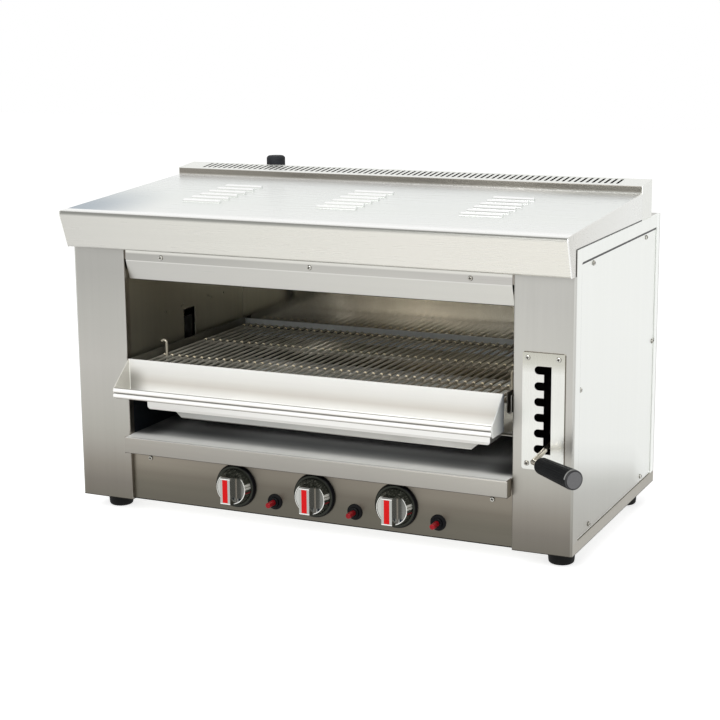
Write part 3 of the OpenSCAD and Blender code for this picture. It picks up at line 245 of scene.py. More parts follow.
def top_paint(finish):
    """Top cover: deck, leaning fascia, end cheeks and the hoods of the louvres, with painted
    highlights, shade and reflections.
    """
    x, y, z = finish.x, finish.y, finish.z
    # Painted light on the deck: a painted shadow line and a painted highlight along the front
    # bend, and painted light in front of the flue.
    deck = y.grade(
        (-0.0424, tint(122, 122, 117)),
        (-0.0408, tint(146, 146, 142)),
        (-0.0380, tint(212, 212, 208)),
        (-0.0340, tint(244, 244, 241)),
        (-0.0260, tint(255, 255, 253)),
        (-0.0180, tint(253, 253, 251)),
        (-0.0100, tint(243, 244, 241)),
        (0.0, tint(237, 239, 236)),
        (0.1, tint(235, 238, 234)),
        (0.26, tint(236, 239, 236)),
        (0.31, tint(236, 239, 237)),
        (0.357, tint(255, 255, 255)),
    )
    # A painted reflection: a blue-grey patch at the deck's left front corner.
    corner_x, corner_y, corner_wide, corner_deep = -0.4488, -0.03, 0.17, 0.28
    reach = ((x - corner_x) / corner_wide) ** 2 + ((y - corner_y) / corner_deep) ** 2
    painted_corner_reflection = (1 - (reach**0.5).fade(0.1, 1.0)) * y.above(-0.017)
    # A painted reflection: the deck darker at its right rear, by the flue.
    far_right_reflection = x.fade(0.2, 0.4) * y.fade(0.26, 0.34)
    # Painted light on the fascia: darker to the left, with a band of painted shade at its top, on
    # the lower part of the bend.
    fascia = x.grade(
        (-0.45, tint(208, 207, 201)),
        (-0.1, tint(220, 219, 211)),
        (0.2, tint(227, 225, 217)),
        (0.45, tint(230, 228, 219)),
    )
    fascia = finish.mix(z.fade(0.4985, 0.5040), fascia, tint(132, 132, 127))
    front = z.below(0.5064) * y.below(-0.001)
    edge_y, edge_z, slope = -0.043, 0.5072, 0.055
    rise = z - edge_z - slope * (y - edge_y)
    louvre_pitch, louvre_middle, louvre_half = 0.255, 0.005, 0.0352
    across = (x - louvre_middle + louvre_pitch / 2).repeat(louvre_pitch) - louvre_pitch / 2
    louvres = y.between(0.09, 0.256)
    # Painted light on the louvres: a painted highlight on the hoods, painted shade on their lower
    # slopes (darker to the right) and on their left ends, and painted light over their right
    # ends.
    hood_highlight = rise.above(0.0023) * louvres
    hood_foot = rise.above(0.0004) * louvres
    hood_end_shade = hood_highlight * across.below(-louvre_half - 0.00072)
    hood_tip_light = hood_foot * across.above(louvre_half)
    cheek = abs(x).above(CHEEK_INSIDE)
    # Painted light on the end cheeks: painted shade darkening them to the front, a painted
    # highlight along the front edge, and painted shadow lines in the gaps along the foot and at
    # the front.
    side = y.grade(
        (-0.043, tint(222, 221, 215)),
        (0.0, tint(231, 230, 224)),
        (0.1, tint(238, 238, 233)),
        (0.3, tint(246, 247, 243)),
    )
    lean, lower_edge = 0.36, 0.4834
    drop = 0.507 - z
    past_edge = y + 0.0425 - lean * drop.math("MAXIMUM", drop, 0.0)
    foot = z.line(lower_edge, 0.0013) * y.above(-0.001)
    behind_shadow = y.line(-0.0006, 0.0012) * z.below(lower_edge + 0.0008)
    return finish.layers(
        deck,
        (painted_corner_reflection, tint(148, 162, 173)),
        (far_right_reflection, tint(197, 200, 199)),
        (hood_foot, finish.mix(x.fade(0.0, 0.3), tint(216, 218, 214), tint(190, 192, 189))),
        (hood_highlight, tint(255, 255, 254)),
        (hood_end_shade, tint(186, 188, 187)),
        (hood_tip_light, tint(240, 242, 240)),
        (front, fascia),
        (cheek, side),
        (cheek * past_edge.below(0.0030), tint(250, 250, 247)),
        (cheek * foot, tint(40, 39, 37)),
        (cheek * behind_shadow, tint(62, 60, 57)),
    )


def flue_paint(finish):
    """Flue channel: a front face painted dark as painted shade and reflection, a pale top, and an
    inside painted dark as painted shade.
    """
    x, y, z = finish.x, finish.y, finish.z
    low, high = casing_box("flue_grille")
    slope, top_height = 0.0932, 0.542
    top = z - slope * (y - low.y)
    between_cheeks = abs(x).below(CHEEK_INSIDE)
    face = y.below(low.y + SHEET) * between_cheeks
    # Painted shade and reflection on the front face, dimmer from the left towards the middle and
    # the right.
    front = z.grade(
        (0.5300, tint(190, 188, 182)),
        (0.5314, tint(152, 148, 140)),
        (0.5330, tint(136, 132, 124)),
        (0.5420, tint(138, 134, 126)),
    )
    front = finish.dimmed(front, 0.98 - 0.26 * x.fade(-0.4, 0.0) - 0.12 * x.fade(0.2, 0.4))
    # Painted shade: the inside of the channel painted dark.
    inside = y.between(low.y + SHEET, high.y - SHEET) * top.below(top_height - 0.0009)
    inside = inside * between_cheeks
    return finish.layers(
        tint(232, 233, 228),
        (face, front),
        # A painted highlight along the front face's top edge.
        (y.below(low.y + 0.0022) * z.line(top_height, 0.0009), tint(236, 236, 232)),
        (inside, tint(92, 87, 81)),
    )


def side_tone_with_reflection(finish):
    """The outer sides' tone, with a painted reflection that darkens it to the floor and to the
    front.
    """
    lift = finish.z + 0.26 * finish.y + 0.035 * finish.y.fade(0.33, 0.43)
    return lift.grade(
        (0.0, tint(160, 157, 148)),
        (0.07, tint(174, 173, 166)),
        (0.105, tint(184, 184, 178)),
        (0.125, tint(196, 197, 191)),
        (0.14, tint(212, 213, 208)),
        (0.16, tint(230, 232, 228)),
        (0.19, tint(239, 241, 237)),
        (0.4, tint(243, 245, 241)),
    )


def casing_paint(finish):
    """Side casings: columns with painted shade that deepens them to the floor, and pale outer
    sides.
    """
    x, y, z = finish.x, finish.y, finish.z
    # Painted shade and reflection: the columns darken to the floor, and the right one is painted
    # lighter as painted light.
    column = z.grade(
        (0.0, tint(121, 117, 108)),
        (0.03, tint(130, 125, 117)),
        (0.06, tint(148, 143, 134)),
        (0.085, tint(163, 159, 151)),
        (0.105, tint(173, 170, 162)),
        (0.13, tint(180, 178, 170)),
        (0.165, tint(186, 184, 177)),
        (0.243, tint(193, 191, 185)),
        (0.33, tint(187, 186, 180)),
        (0.40, tint(178, 177, 172)),
        (0.48, tint(178, 177, 172)),
    )
    right = x.above(0.0)
    brighter = 0.1 * z.fade(0.06, 0.16) + 0.06 * z.fade(0.3, 0.42) - 0.04
    column = finish.dimmed(column, 0.97 + right * brighter)
    cover_low, cover_high = 0.02, 0.4425
    cover_side = z.between(cover_low, cover_high)
    outer = abs(x).above(HALF_WIDTH - 0.0034)
    bend = outer * y.below(0.003)
    bend_highlight = z.grade(
        (0.0, tint(134, 131, 123)),
        (0.1, tint(172, 171, 164)),
        (0.2, tint(200, 200, 195)),
        (0.48, tint(206, 206, 201)),
    )
    low_rim = outer * z.below(0.0195) * y.above(0.003)
    inner_edge_shade = abs(x).below(0.3507)
    return finish.layers(
        column,
        (outer, side_tone_with_reflection(finish)),
        # Painted light on the outer sides: a painted highlight on the rear rim, a painted shadow
        # line at the cover's front gap, a painted highlight along the front bend that darkens to
        # the floor, painted shadow above the cover at the front, and the low rim darkened by the
        # painted reflection.
        (outer * y.above(0.4500) * z.above(cover_low), tint(250, 252, 249)),
        (outer * cover_side * y.between(0.0262, 0.0276), tint(172, 174, 170)),
        (y.above(DEPTH - 0.003), tint(176, 176, 170)),
        (bend, bend_highlight),
        (outer * y.below(0.0018) * z.above(cover_high), tint(84, 82, 78)),
        (low_rim, tint(164, 160, 149)),
        # Painted shade on the columns' inner edges, and a painted shadow line along their bottom
        # edge.
        (inner_edge_shade, tint(150, 145, 136)),
        (z.below(0.0011), tint(46, 44, 40)),
    )


def cover_paint(finish):
    """Recessed side covers with painted shadow in the gaps along the top and the front, and a
    painted highlight along the bottom edge.
    """
    low, high = casing_box("side_cover_right")
    y, z = finish.y, finish.z
    return finish.layers(
        side_tone_with_reflection(finish),
        # Painted shadow in the front and top gaps, and a painted highlight along the bottom edge.
        (y.below(low.y + 0.0016), tint(160, 162, 158)),
        (z.below(low.z + 0.0012), tint(250, 250, 247)),
        (z.above(high.z - 0.0034), tint(26, 25, 24)),
    )


def header_paint(finish):
    """Header strip over the brighter burner shield, both painted darker to the left as painted
    light, with a painted light band under the fascia, a painted highlight on the crease and a
    painted shadow along the shield's lower edge.
    """
    x, z = finish.x, finish.z
    # Painted light: the strip and the shield darker to the left.
    strip = x.grade(
        (-0.35, tint(176, 175, 170)),
        (-0.05, tint(190, 189, 183)),
        (0.35, tint(191, 189, 184)),
    )
    shield = x.grade(
        (-0.35, tint(200, 199, 194)),
        (0.0, tint(210, 209, 203)),
        (0.35, tint(216, 215, 208)),
    )
    # A painted light band under the fascia.
    strip = finish.mix(z.fade(0.4335, 0.4375), strip, tint(230, 229, 222))
    bend = 0.4222
    return finish.layers(
        shield,
        (z.above(bend), strip),
        # A painted highlight on the crease, and a painted shadow along the shield's lower edge.
        (z.line(bend, 0.0006), tint(222, 221, 216)),
        (z.below(0.3895), tint(60, 56, 50)),
    )


def control_paint(finish):
    """Control panel: a warm dark grey, with painted shade that darkens it to the floor and to the
    lower left and painted light to the right, and a black lower edge.
    """
    x, z = finish.x, finish.z
    colour = z.grade(
        (0.0, tint(114, 110, 100)),
        (0.03, tint(117, 113, 102)),
        (0.052, tint(126, 120, 109)),
        (0.066, tint(142, 136, 124)),
        (0.08, tint(150, 143, 131)),
        (0.115, tint(158, 151, 139)),
    )
    # Painted shade to the lower left and painted light to the right.
    low_left_shade = (1 - x.fade(-0.33, -0.1)) * (1 - z.fade(0.0, 0.06))
    across = 1 - 0.2 * x.fade(-0.33, -0.08) + 0.08 * x.fade(0.0, 0.33)
    colour = finish.dimmed(colour, across - 0.15 * low_left_shade)
    return finish.mix(z.below(0.0026), colour, tint(22, 21, 19))


def gate_paint(finish):
    """Gate plate, bright, darker towards its head, with a painted shadow line along its top and
    right edges.
    """
    high = casing_box("gate_plate")[1]
    x, z = finish.x, finish.z
    face = z.grade(
        (0.136, tint(232, 233, 227)),
        (0.2, tint(238, 239, 233)),
        (0.23, tint(233, 234, 228)),
        (0.29, tint(233, 233, 227)),
        (0.305, tint(206, 205, 195)),
        (0.323, tint(196, 195, 184)),
    )
    edge = 0.0011
    return finish.layers(
        face,
        # A painted shadow line along the top and right edges.
        (z.above(high.z - edge), tint(96, 88, 76)),
        (x.above(high.x - edge), tint(112, 104, 92)),
    )


def trough_paint(finish):
    """Drip trough: bright inside, two rolled steps on the lip, plates at its ends, with painted
    reflections, highlights and shade.
    """
    low, high = casing_box("grid_trough")
    x, y, z = finish.x, finish.y, finish.z
    end_in = high.x - 0.0016
    lip_low, roll = 0.1971, 0.0091
    # A painted reflection on the back wall: a darker band low on it.
    wall = z.grade(
        (0.196, tint(244, 244, 242)),
        (0.208, tint(236, 235, 231)),
        (0.219, tint(212, 208, 201)),
        (0.233, tint(222, 221, 216)),
        (0.255, tint(232, 232, 228)),
    )
    painted_corner_reflection = (1 - x.fade(-0.335, -0.298)) * y.above(-0.03) * (1 - z.fade(0.222, 0.247))
    # Painted light on the lip's rolls: painted shade in the grooves and a painted highlight on
    # each roll.
    past_roll = (z - lip_low).repeat(roll)
    rolls_light_and_shade = past_roll.grade(
        (0.0, tint(106, 99, 90)),
        (0.0010, tint(124, 117, 108)),
        (0.0024, tint(222, 220, 214)),
        (0.0045, tint(246, 246, 243)),
        (0.0080, tint(248, 248, 245)),
        (roll, tint(106, 99, 90)),
    )
    # A painted shadow line at the lip's top edge.
    step_shadow = y.below(low.y + 0.0112) * z.line(0.2157, 0.0008)
    lip = y.below(low.y + 0.0088) * z.below(0.2162)
    left_end_shade = x.below(-end_in)
    right_end = x.above(end_in)
    outside_shade = y.grade(
        (-0.066, tint(240, 241, 238)),
        (-0.045, tint(212, 214, 212)),
        (-0.022, tint(148, 152, 155)),
        (-0.0115, tint(98, 103, 109)),
    )
    return finish.layers(
        wall,
        # Painted light on the floor, a painted reflection in the left rear corner, and a painted
        # highlight on the seam at the left end.
        (y.between(-0.056, -0.016) * z.below(0.205), tint(255, 255, 253)),
        (painted_corner_reflection * 0.9, tint(146, 144, 138)),
        (x.line(-end_in + 0.0006, 0.0005), tint(250, 250, 246)),
        (lip, rolls_light_and_shade),
        (step_shadow, tint(112, 105, 96)),
        # Painted shade: a line along the lip's bottom edge, the left end plate's inner face, and
        # the right end plate's outer face, darker to the rear.
        (lip * z.below(lip_low + 0.0001), tint(112, 106, 97)),
        (left_end_shade, tint(214, 212, 203)),
        (right_end, outside_shade),
    )


def pan_front(finish):
    """The front wall of the drip pan."""
    low = casing_box("drip_pan")[0]
    return finish.y.below(low.y + 0.004)


def pan_rim(finish):
    """The upper band of the drip pan's front."""
    return pan_front(finish) * finish.z.between(0.1712, 0.1795)


def pan_metal(finish):
    """How metallic the drip pan is, most on its rim."""
    return 0.4 + 0.6 * pan_rim(finish)


def pan_paint(finish):
    """Drip pan: a front rim with a painted highlight, a greyer well, and painted shade that
    darkens the well and the floor to the left and darkens the underside.
    """
    low = casing_box("drip_pan")[0]
    x, z = finish.x, finish.z
    # Painted light: the well darker to the left.
    well = x.grade(
        (-0.29, tint(190, 192, 190)),
        (0.0, tint(204, 204, 199)),
        (0.29, tint(228, 227, 221)),
    )
    well = finish.mix(finish.noise(6, detail=4.0).fade(0.35, 0.7), well, tint(184, 183, 177))
    floor = x.grade((-0.05, tint(98, 97, 92)), (0.27, tint(250, 250, 242)))
    rim = finish.mix(x.fade(-0.34, 0.0), tint(226, 225, 221), tint(250, 249, 245))
    front = pan_front(finish)
    return finish.layers(
        well,
        (front, tint(236, 235, 230)),
        # Painted shade on the floor, dark on the left, a painted highlight on the rim, darker to
        # the left, and painted shade on the underside.
        (z.below(low.z + 0.0014) * (1 - front), floor),
        (pan_rim(finish), rim),
        (z.below(low.z + 0.0004), tint(40, 41, 42)),
    )


def tray_paint(finish):
    """Crumb tray: a grey lip, and a deck with a painted highlight along its front and painted
    shadow under the rack, at its ends and at its sides.
    """
    low, high = casing_box("crumb_tray")
    x, y, z = finish.x, finish.y, finish.z
    # Painted light on the deck: a painted highlight along its front, painted shadow under the
    # rack and painted light further back.
    deck = y.grade(
        (-0.02, tint(206, 206, 202)),
        (-0.0165, tint(214, 214, 210)),
        (-0.012, tint(250, 250, 246)),
        (0.0, tint(254, 254, 251)),
        (0.010, tint(246, 246, 242)),
        (0.02, tint(212, 213, 211)),
        (0.03, tint(190, 191, 190)),
        (0.045, tint(174, 176, 176)),
        (0.065, tint(186, 188, 188)),
        (0.085, tint(226, 228, 226)),
        (0.11, tint(255, 255, 255)),
        (0.41, tint(200, 204, 206)),
    )
    # Painted shadow on the deck at both ends, at the left and at the right.
    ends = abs(x).fade(0.285, 0.333) * y.fade(0.0, 0.028)
    left = (1 - x.fade(-0.23, -0.09)) * y.fade(0.03, 0.062)
    right = x.fade(0.1, 0.27) * y.fade(0.0, 0.03)
    deck = finish.dimmed(deck, (1 - 0.78 * ends) * (1 - 0.5 * left) * (1 - 0.24 * right))
    # Painted light on the lip: darker to the left and at its foot, with painted shade on its end
    # faces and a painted shadow line along the tray's bottom edge.
    lip = x.grade(
        (-0.35, tint(158, 154, 146)),
        (-0.1, tint(157, 154, 147)),
        (0.1, tint(160, 157, 150)),
        (0.35, tint(169, 166, 158)),
    )
    lip = finish.dimmed(lip, 0.94 + 0.12 * z.fade(0.092, 0.116))
    front = y.below(low.y + 0.003) * z.below(0.1168)
    lip_end = abs(x).above(high.x - 0.0013) * y.below(0.0)
    return finish.layers(
        deck,
        (lip_end, tint(112, 104, 90)),
        (front, lip),
        (z.below(low.z + 0.0013), tint(70, 64, 56)),
    )


def tray_metal(finish):
    """How metallic the crumb tray is, most on its lip and under the rack's front."""
    y = finish.y
    under = y.fade(0.005, 0.03) * (1 - y.fade(0.06, 0.1))
    return 0.05 + 0.3 * under + 0.3 * y.below(-0.0168)


def wall_paint(finish):
    """Oven walls, dull above the rack, with painted shade that turns them dark blue-grey under it
    and darker to the front.
    """
    # Painted shade: dark blue-grey under the rack, and darker to the front.
    colour = finish.z.grade(
        (0.12, tint(72, 80, 90)),
        (0.18, tint(96, 102, 108)),
        (0.215, tint(176, 174, 160)),
        (0.39, tint(198, 195, 180)),
    )
    return finish.dimmed(colour, 0.7 + 0.6 * finish.y.fade(0.08, 0.34))


def back_paint(finish):
    """Oven back, a warm mirror painted with a reflection that is brightest right of its middle.
    """
    # A painted reflection, brightest right of the middle.
    colour = finish.x.grade(
        (-0.35, tint(154, 151, 141)),
        (-0.2, tint(144, 140, 129)),
        (-0.06, tint(202, 192, 171)),
        (0.03, tint(250, 238, 213)),
        (0.1, tint(226, 216, 194)),
        (0.22, tint(202, 197, 182)),
        (0.35, tint(190, 188, 177)),
    )
    return finish.mix(back_reflection_band(finish), colour, tint(202, 206, 205))


def back_reflection_band(finish):
    """The band across the oven back, just over the rack, dull and painted pale as a painted
    reflection.
    """
    return finish.z.line(0.2440, 0.0045, 0.002)


def back_metal(finish):
    """How metallic the oven back is, least on its dull band."""
    return 1 - 0.9 * back_reflection_band(finish)


def smoked_steel(name, light, dark, metal=1.0):
    """Sheet inside the oven, dulled and tinted by heat and grease."""
    finish = Finish(name)
    grain = finish.noise(420, ALONG["z"])
    bloom = finish.noise(9, detail=5.0)
    spots = finish.noise(160, detail=2.0).fade(0.62, 0.75)
    shade = bloom.fade(0.25, 0.75) * 0.8 + 0.2 * grain
    finish.set(
        Base_Color=finish.mix(shade, light, dark),
        Metallic=metal,
        Roughness=0.42 + 0.12 * (bloom - 0.5) + 0.1 * spots,
        Normal=finish.bump(grain, 0.00001),
    )
    return finish.material


def wire_steel(name, light, dark, rough, metal=1.0, darker_right=None):
    """Drawn wire, blued and browned by heat; darker_right is its colour at the right end of the
    rack.
    """
    finish = Finish(name)
    heat = finish.noise(22, detail=4.0)
    draw = finish.noise(900, detail=1.0)
    steel = finish.mix(heat.fade(0.3, 0.7) * 0.8 + draw * 0.2, light, dark)
    # Darker towards the right end of the rack.
    if darker_right:
        steel = finish.mix(finish.x.fade(0.02, 0.26), steel, darker_right)
    finish.set(
        Base_Color=steel,
        Metallic=metal,
        Roughness=rough + 0.25 * (heat - 0.5),
        Normal=finish.bump(draw, 0.00003),
    )
    return finish.material


def plated(name, light, dark, rough=0.2):
    """Zinc or nickel plate on small parts."""
    finish = Finish(name)
    cloud = finish.noise(60, detail=3.0)
    pits = finish.noise(1500, detail=1.0)
    finish.set(
        Base_Color=finish.mix(cloud.fade(0.3, 0.7), light, dark),
        Metallic=1.0,
        Roughness=rough + 0.16 * (cloud - 0.5),
        Normal=finish.bump(pits, 0.00001),
    )
    return finish.material


def moulded(name, light, dark, rough, grain=1200, depth=0.00003, coat=0.0):
    """Moulded plastic or rubber with a fine grain."""
    finish = Finish(name)
    skin = finish.noise(grain, detail=2.0)
    wear = finish.noise(40, detail=4.0)
    finish.set(
        Base_Color=finish.mix(wear.fade(0.4, 0.8), light, dark),
        Roughness=rough + 0.12 * (wear - 0.5) + 0.1 * (skin - 0.5),
        Coat_Weight=coat,
        Specular_IOR_Level=0.2,
        Normal=finish.bump(skin, depth),
    )
    return finish.material


def black_pipe():
    """Black iron pipe and fittings with a skin of mill scale."""
    finish = Finish("black_iron_pipe")
    scale = finish.noise(70, detail=6.0)
    rust = finish.noise(16, detail=5.0).fade(0.6, 0.75)
    finish.set(
        Base_Color=finish.mix(rust, (0.05, 0.05, 0.05), (0.13, 0.08, 0.05)),
        Metallic=0.6 - 0.4 * rust,
        Roughness=0.5 + 0.3 * (scale - 0.5) + 0.15 * rust,
        Normal=finish.bump(scale, 0.0002),
    )
    return finish.material


def porous_ceramic():
    """Burner plaque: pale ceramic drilled with rows of fine flame ports."""
    finish = Finish("porous_ceramic")
    pitch = 0.003
    ports = finish.node(
        "TexVoronoi",
        {"feature": "F1"},
        {"Vector": finish.place, "Scale": 1 / pitch, "Randomness": 0.0},
    )
    port = 1 - ports.fade(0.2, 0.32)
    bake = finish.noise(14, detail=4.0)
    body = finish.mix(bake.fade(0.3, 0.8), (0.72, 0.64, 0.50), (0.55, 0.42, 0.30))
    finish.set(
        Base_Color=finish.mix(port, body, (0.05, 0.04, 0.03)),
        Roughness=0.85 + 0.1 * (bake - 0.5),
        Normal=finish.bump(1 - port, 0.0006),
    )
    return finish.material


def knob_collar_plastic():
    """Black collars with a ring of chrome inside painted dark as a reflection, and the igniters'
    black discs.
    """
    finish = Finish("collar_plastic")
    low, high = casing_box("knob_collars")
    middle = (low + high) / 2
    across = (finish.x - middle.x + KNOB_PITCH / 2).repeat(KNOB_PITCH) - KNOB_PITCH / 2
    up = finish.z - middle.z
    away = (across**2 + up**2) ** 0.5
    ring_r = 0.0348
    ring = away.below(ring_r) * finish.y.below(low.y + 0.0004)
    skin = finish.noise(1200)
    wear = finish.noise(40, detail=4.0)
    black = finish.mix(wear.fade(0.4, 0.8), (0.004, 0.004, 0.005), (0.009, 0.009, 0.009))
    finish.set(
        # The chrome ring is painted dark as a reflection.
        Base_Color=finish.mix(ring, black, tint(56, 58, 52)),
        Metallic=ring * 0.6,
        Roughness=0.36 + 0.12 * (wear - 0.5) - 0.05 * ring,
        Specular_IOR_Level=0.1,
        Normal=finish.bump(skin, 0.00002),
    )
    return finish.material


def knob_chrome(node):
    """Cast chrome knob with a red strip along its bar and a dark red mark on its flank, its
    chrome painted with reflections and highlights.
    """
    finish = Finish("chrome_of_" + node)
    low, high = casing_box(node)
    middle = (low + high) / 2
    across = finish.x - middle.x
    up = finish.z - middle.z
    away = (across**2 + up**2) ** 0.5
    depth = finish.y - low.y
    front = depth.below(0.0012)
    past_bar = depth.above(0.019)
    face_r = 0.0272
    face = past_bar * away.below(face_r)
    flank = past_bar * away.above(face_r)
    right = across.above(0.018)
    crown = up.fade(0.0165, 0.0205)
    strip_wide, strip_high = 0.0049, 0.0199
    strip = abs(across).below(strip_wide) * abs(up).below(strip_high) * front
    mark = flank * right * up.between(-0.0078, -0.0052)
    red = strip + mark
    low_patch_reflection = (1 - up.fade(-0.0175, -0.0145)) * across.above(0.0)
    dashes = finish.noise(520, (1, 0.1, 1)).fade(0.5, 0.7)
    olive_reflection = finish.mix(dashes, tint(58, 60, 53), tint(112, 113, 104))
    # Painted reflections and highlights on the chrome: a mid-grey body and face, a light left
    # face, a dark blue patch with a highlight low on the face, a bright seam and rim, a dark
    # olive crown and flank with a highlight block, and bright bar ends.
    chrome = finish.layers(
        up.grade((-0.024, tint(122, 122, 118)), (0.024, tint(146, 146, 142))),
        (face, up.grade((-0.024, tint(138, 138, 134)), (0.024, tint(120, 121, 116)))),
        (face * (1 - across.fade(-0.012, -0.0095)), tint(196, 197, 192)),
        (face * low_patch_reflection, tint(52, 60, 74)),
        (face * low_patch_reflection * across.line(0.0125, 0.0014), tint(214, 216, 212)),
        (face * across.line(0.0108, 0.0005, 0.0004), tint(206, 198, 188)),
        (face * away.above(face_r - 0.0017), tint(236, 236, 231)),
        (face * crown, olive_reflection),
        (front, tint(186, 187, 182)),
        (front * abs(up).above(strip_high + 0.0006), tint(250, 250, 247)),
        (flank, olive_reflection),
        (flank * right * up.between(-0.0005, 0.0085), tint(228, 228, 221)),
        (flank * right * up.between(0.0034, 0.0046), tint(120, 120, 108)),
    )
    cloud = finish.noise(60, detail=3.0)
    finish.set(
        Base_Color=finish.layers(chrome, (strip, tint(206, 18, 20)), (mark, tint(112, 24, 30))),
        Metallic=(1 - red) * (1 - 0.6 * flank),
        Roughness=0.2 + 0.12 * (cloud - 0.5) + 0.2 * red,
        Specular_IOR_Level=0.15,
        Normal=finish.bump(finish.noise(900, detail=1.0), 0.00001),
    )
    return finish.material


def along_grip(finish, node):
    """Distances along the grip's axis and away from it, from the middle of a node."""
    low, high = casing_box(node)
    turn = math.radians(38.9)  # from the casing's width towards its front
    axis = (math.cos(turn), -math.sin(turn), 0.0)
    arm = finish.vector("SUBTRACT", finish.spot, (low + high) / 2)
    along = finish.vector("DOT_PRODUCT", arm, axis, "Value")
    square = finish.vector("CROSS_PRODUCT", arm, axis)
    away = finish.vector("LENGTH", square, output="Value")
    return along, away


def grip_plastic():
    """The tapered grip: black, with painted shade in its flutes and a paler ring at the upper
    side of its end as a painted highlight.
    """
    finish = Finish("grip_plastic")
    low, high = casing_box("grip_cap")
    along, away = along_grip(finish, "grip_cap")
    end_r, taper = 0.0150, 0.027
    ridge = (away - end_r - taper * along).fade(-0.0009, 0.0001)
    skin = finish.noise(900)
    # Painted shade in the flutes, lighter on the ridges.
    black = finish.mix(ridge, tint(3, 3, 4), tint(24, 25, 26))
    upper = (finish.z - (low.z + high.z) / 2).above(0.002)
    # A painted highlight: the paler ring on the upper side of the end.
    ring = along.between(-0.0035, 0.001) * upper
    finish.set(
        Base_Color=finish.mix(ring, black, tint(132, 132, 130)),
        Roughness=0.5 + 0.1 * (skin - 0.5),
        Specular_IOR_Level=0.07,
        Normal=finish.bump(skin, 0.00004),
    )
    return finish.material


def grip_cap_plastic():
    """The grip's grey end cap with a darker rim."""
    finish = Finish("cap_plastic")
    low, high = casing_box("grip_cap")
    radius = (high.z - low.z) / 2
    away = along_grip(finish, "grip_cap")[1]
    rim = away.fade(radius - 0.0026, radius - 0.0018)
    skin = finish.noise(900)
    grey = finish.mix(skin.fade(0.3, 0.8), tint(108, 108, 109), tint(92, 92, 94))
    finish.set(
        Base_Color=finish.mix(rim, grey, tint(26, 26, 28)),
        Roughness=0.5 + 0.1 * (skin - 0.5),
        Normal=finish.bump(skin, 0.00006),
    )
    return finish.material


FINISHES = {
    "top_sheet": brushed("top_sheet", "x", top_paint, 0.3, 0.04, 0.6, 0.000004),
    "flue_sheet": brushed("flue_sheet", "x", flue_paint, 0.3, 0.06),
    "front_columns": brushed("front_columns", "z", casing_paint, 0.34, 0.07),
    "side_sheet": brushed("side_sheet", "z", cover_paint, 0.34, 0.04),
    "rear_sheet": brushed(
        "rear_sheet", "z", plain_sheet(tint(196, 196, 191), tint(176, 176, 170))
    ),
    "header_sheet": brushed("header_sheet", "x", header_paint, 0.32, 0.06),
    "control_sheet": brushed("control_sheet", "x", control_paint, 0.36, 0.1),
    "gate_sheet": brushed("gate_sheet", "z", gate_paint, 0.24, 0.05),
    "trough_sheet": brushed("trough_sheet", "x", trough_paint, 0.34, 0.05, 0.2),
    "tray_sheet": brushed("tray_sheet", "x", tray_paint, 0.4, 0.08, tray_metal),
    "pan_sheet": brushed("pan_sheet", "x", pan_paint, 0.34, 0.08, pan_metal),
    "oven_walls": brushed("oven_walls", "z", wall_paint, 0.4, 0.16, 0.9),
    "oven_back": brushed("oven_back", "z", back_paint, 0.12, 0.16, back_metal),
    "oven_floor": smoked_steel("oven_floor", tint(158, 156, 148), tint(112, 109, 102), 0.6),
    "burner_steel": smoked_steel("burner_steel", (0.40, 0.38, 0.34), (0.20, 0.17, 0.14)),
    "rack_rails": smoked_steel("rack_rails", tint(176, 175, 168), tint(128, 127, 120)),
    "rear_bar": smoked_steel("rear_bar", tint(176, 182, 186), tint(146, 151, 154), 0.25),
    "grid_wire": wire_steel(
        "grid_wire", tint(192, 189, 178), tint(148, 145, 133), 0.34, 0.15, tint(146, 137, 120)
    ),
    "hook_wire": wire_steel("hook_wire", tint(196, 190, 174), tint(150, 142, 124), 0.3, 0.3),
    # The weld beads are painted near-white as painted highlights.
    "weld_bead_highlight": wire_steel("weld_bead_highlight", tint(255, 247, 222), tint(250, 236, 200), 0.22, 0.0),
    "screen_wire": wire_steel("screen_wire", (0.32, 0.28, 0.24), (0.12, 0.10, 0.09), 0.5),
    "screws": plated("screws", tint(214, 213, 206), tint(160, 156, 146)),
    # Painted shade: the screws' recesses and washers.
    "screw_recess_shade": plated("screw_recess_shade", tint(46, 40, 33), tint(26, 23, 20), 0.5),
    # Painted shade: the lift parts painted dark, so that the wall's slot reads dark.
    "lift_steel": plated("lift_steel", tint(74, 75, 78), tint(52, 53, 56), 0.4),
    "lever_steel": plated("lever_steel", tint(222, 216, 204), tint(168, 162, 150), 0.24),
    "brass": plated("brass", (0.72, 0.54, 0.26), (0.50, 0.36, 0.16), 0.3),
    "collar_plastic": knob_collar_plastic(),
    "grip_plastic": grip_plastic(),
    "cap_rubber": moulded("cap_rubber", tint(40, 42, 46), tint(30, 31, 34), 0.6),
    "cap_plastic": grip_cap_plastic(),
    "button_plastic": moulded(
        "button_plastic", tint(146, 14, 26), tint(116, 9, 18), 0.34, coat=0.05
    ),
    "foot_rubber": moulded(
        "foot_rubber", (0.005, 0.005, 0.005), (0.012, 0.012, 0.011), 0.7, 500, 0.00015
    ),
    "black_iron_pipe": black_pipe(),
    "porous_ceramic": porous_ceramic(),
}

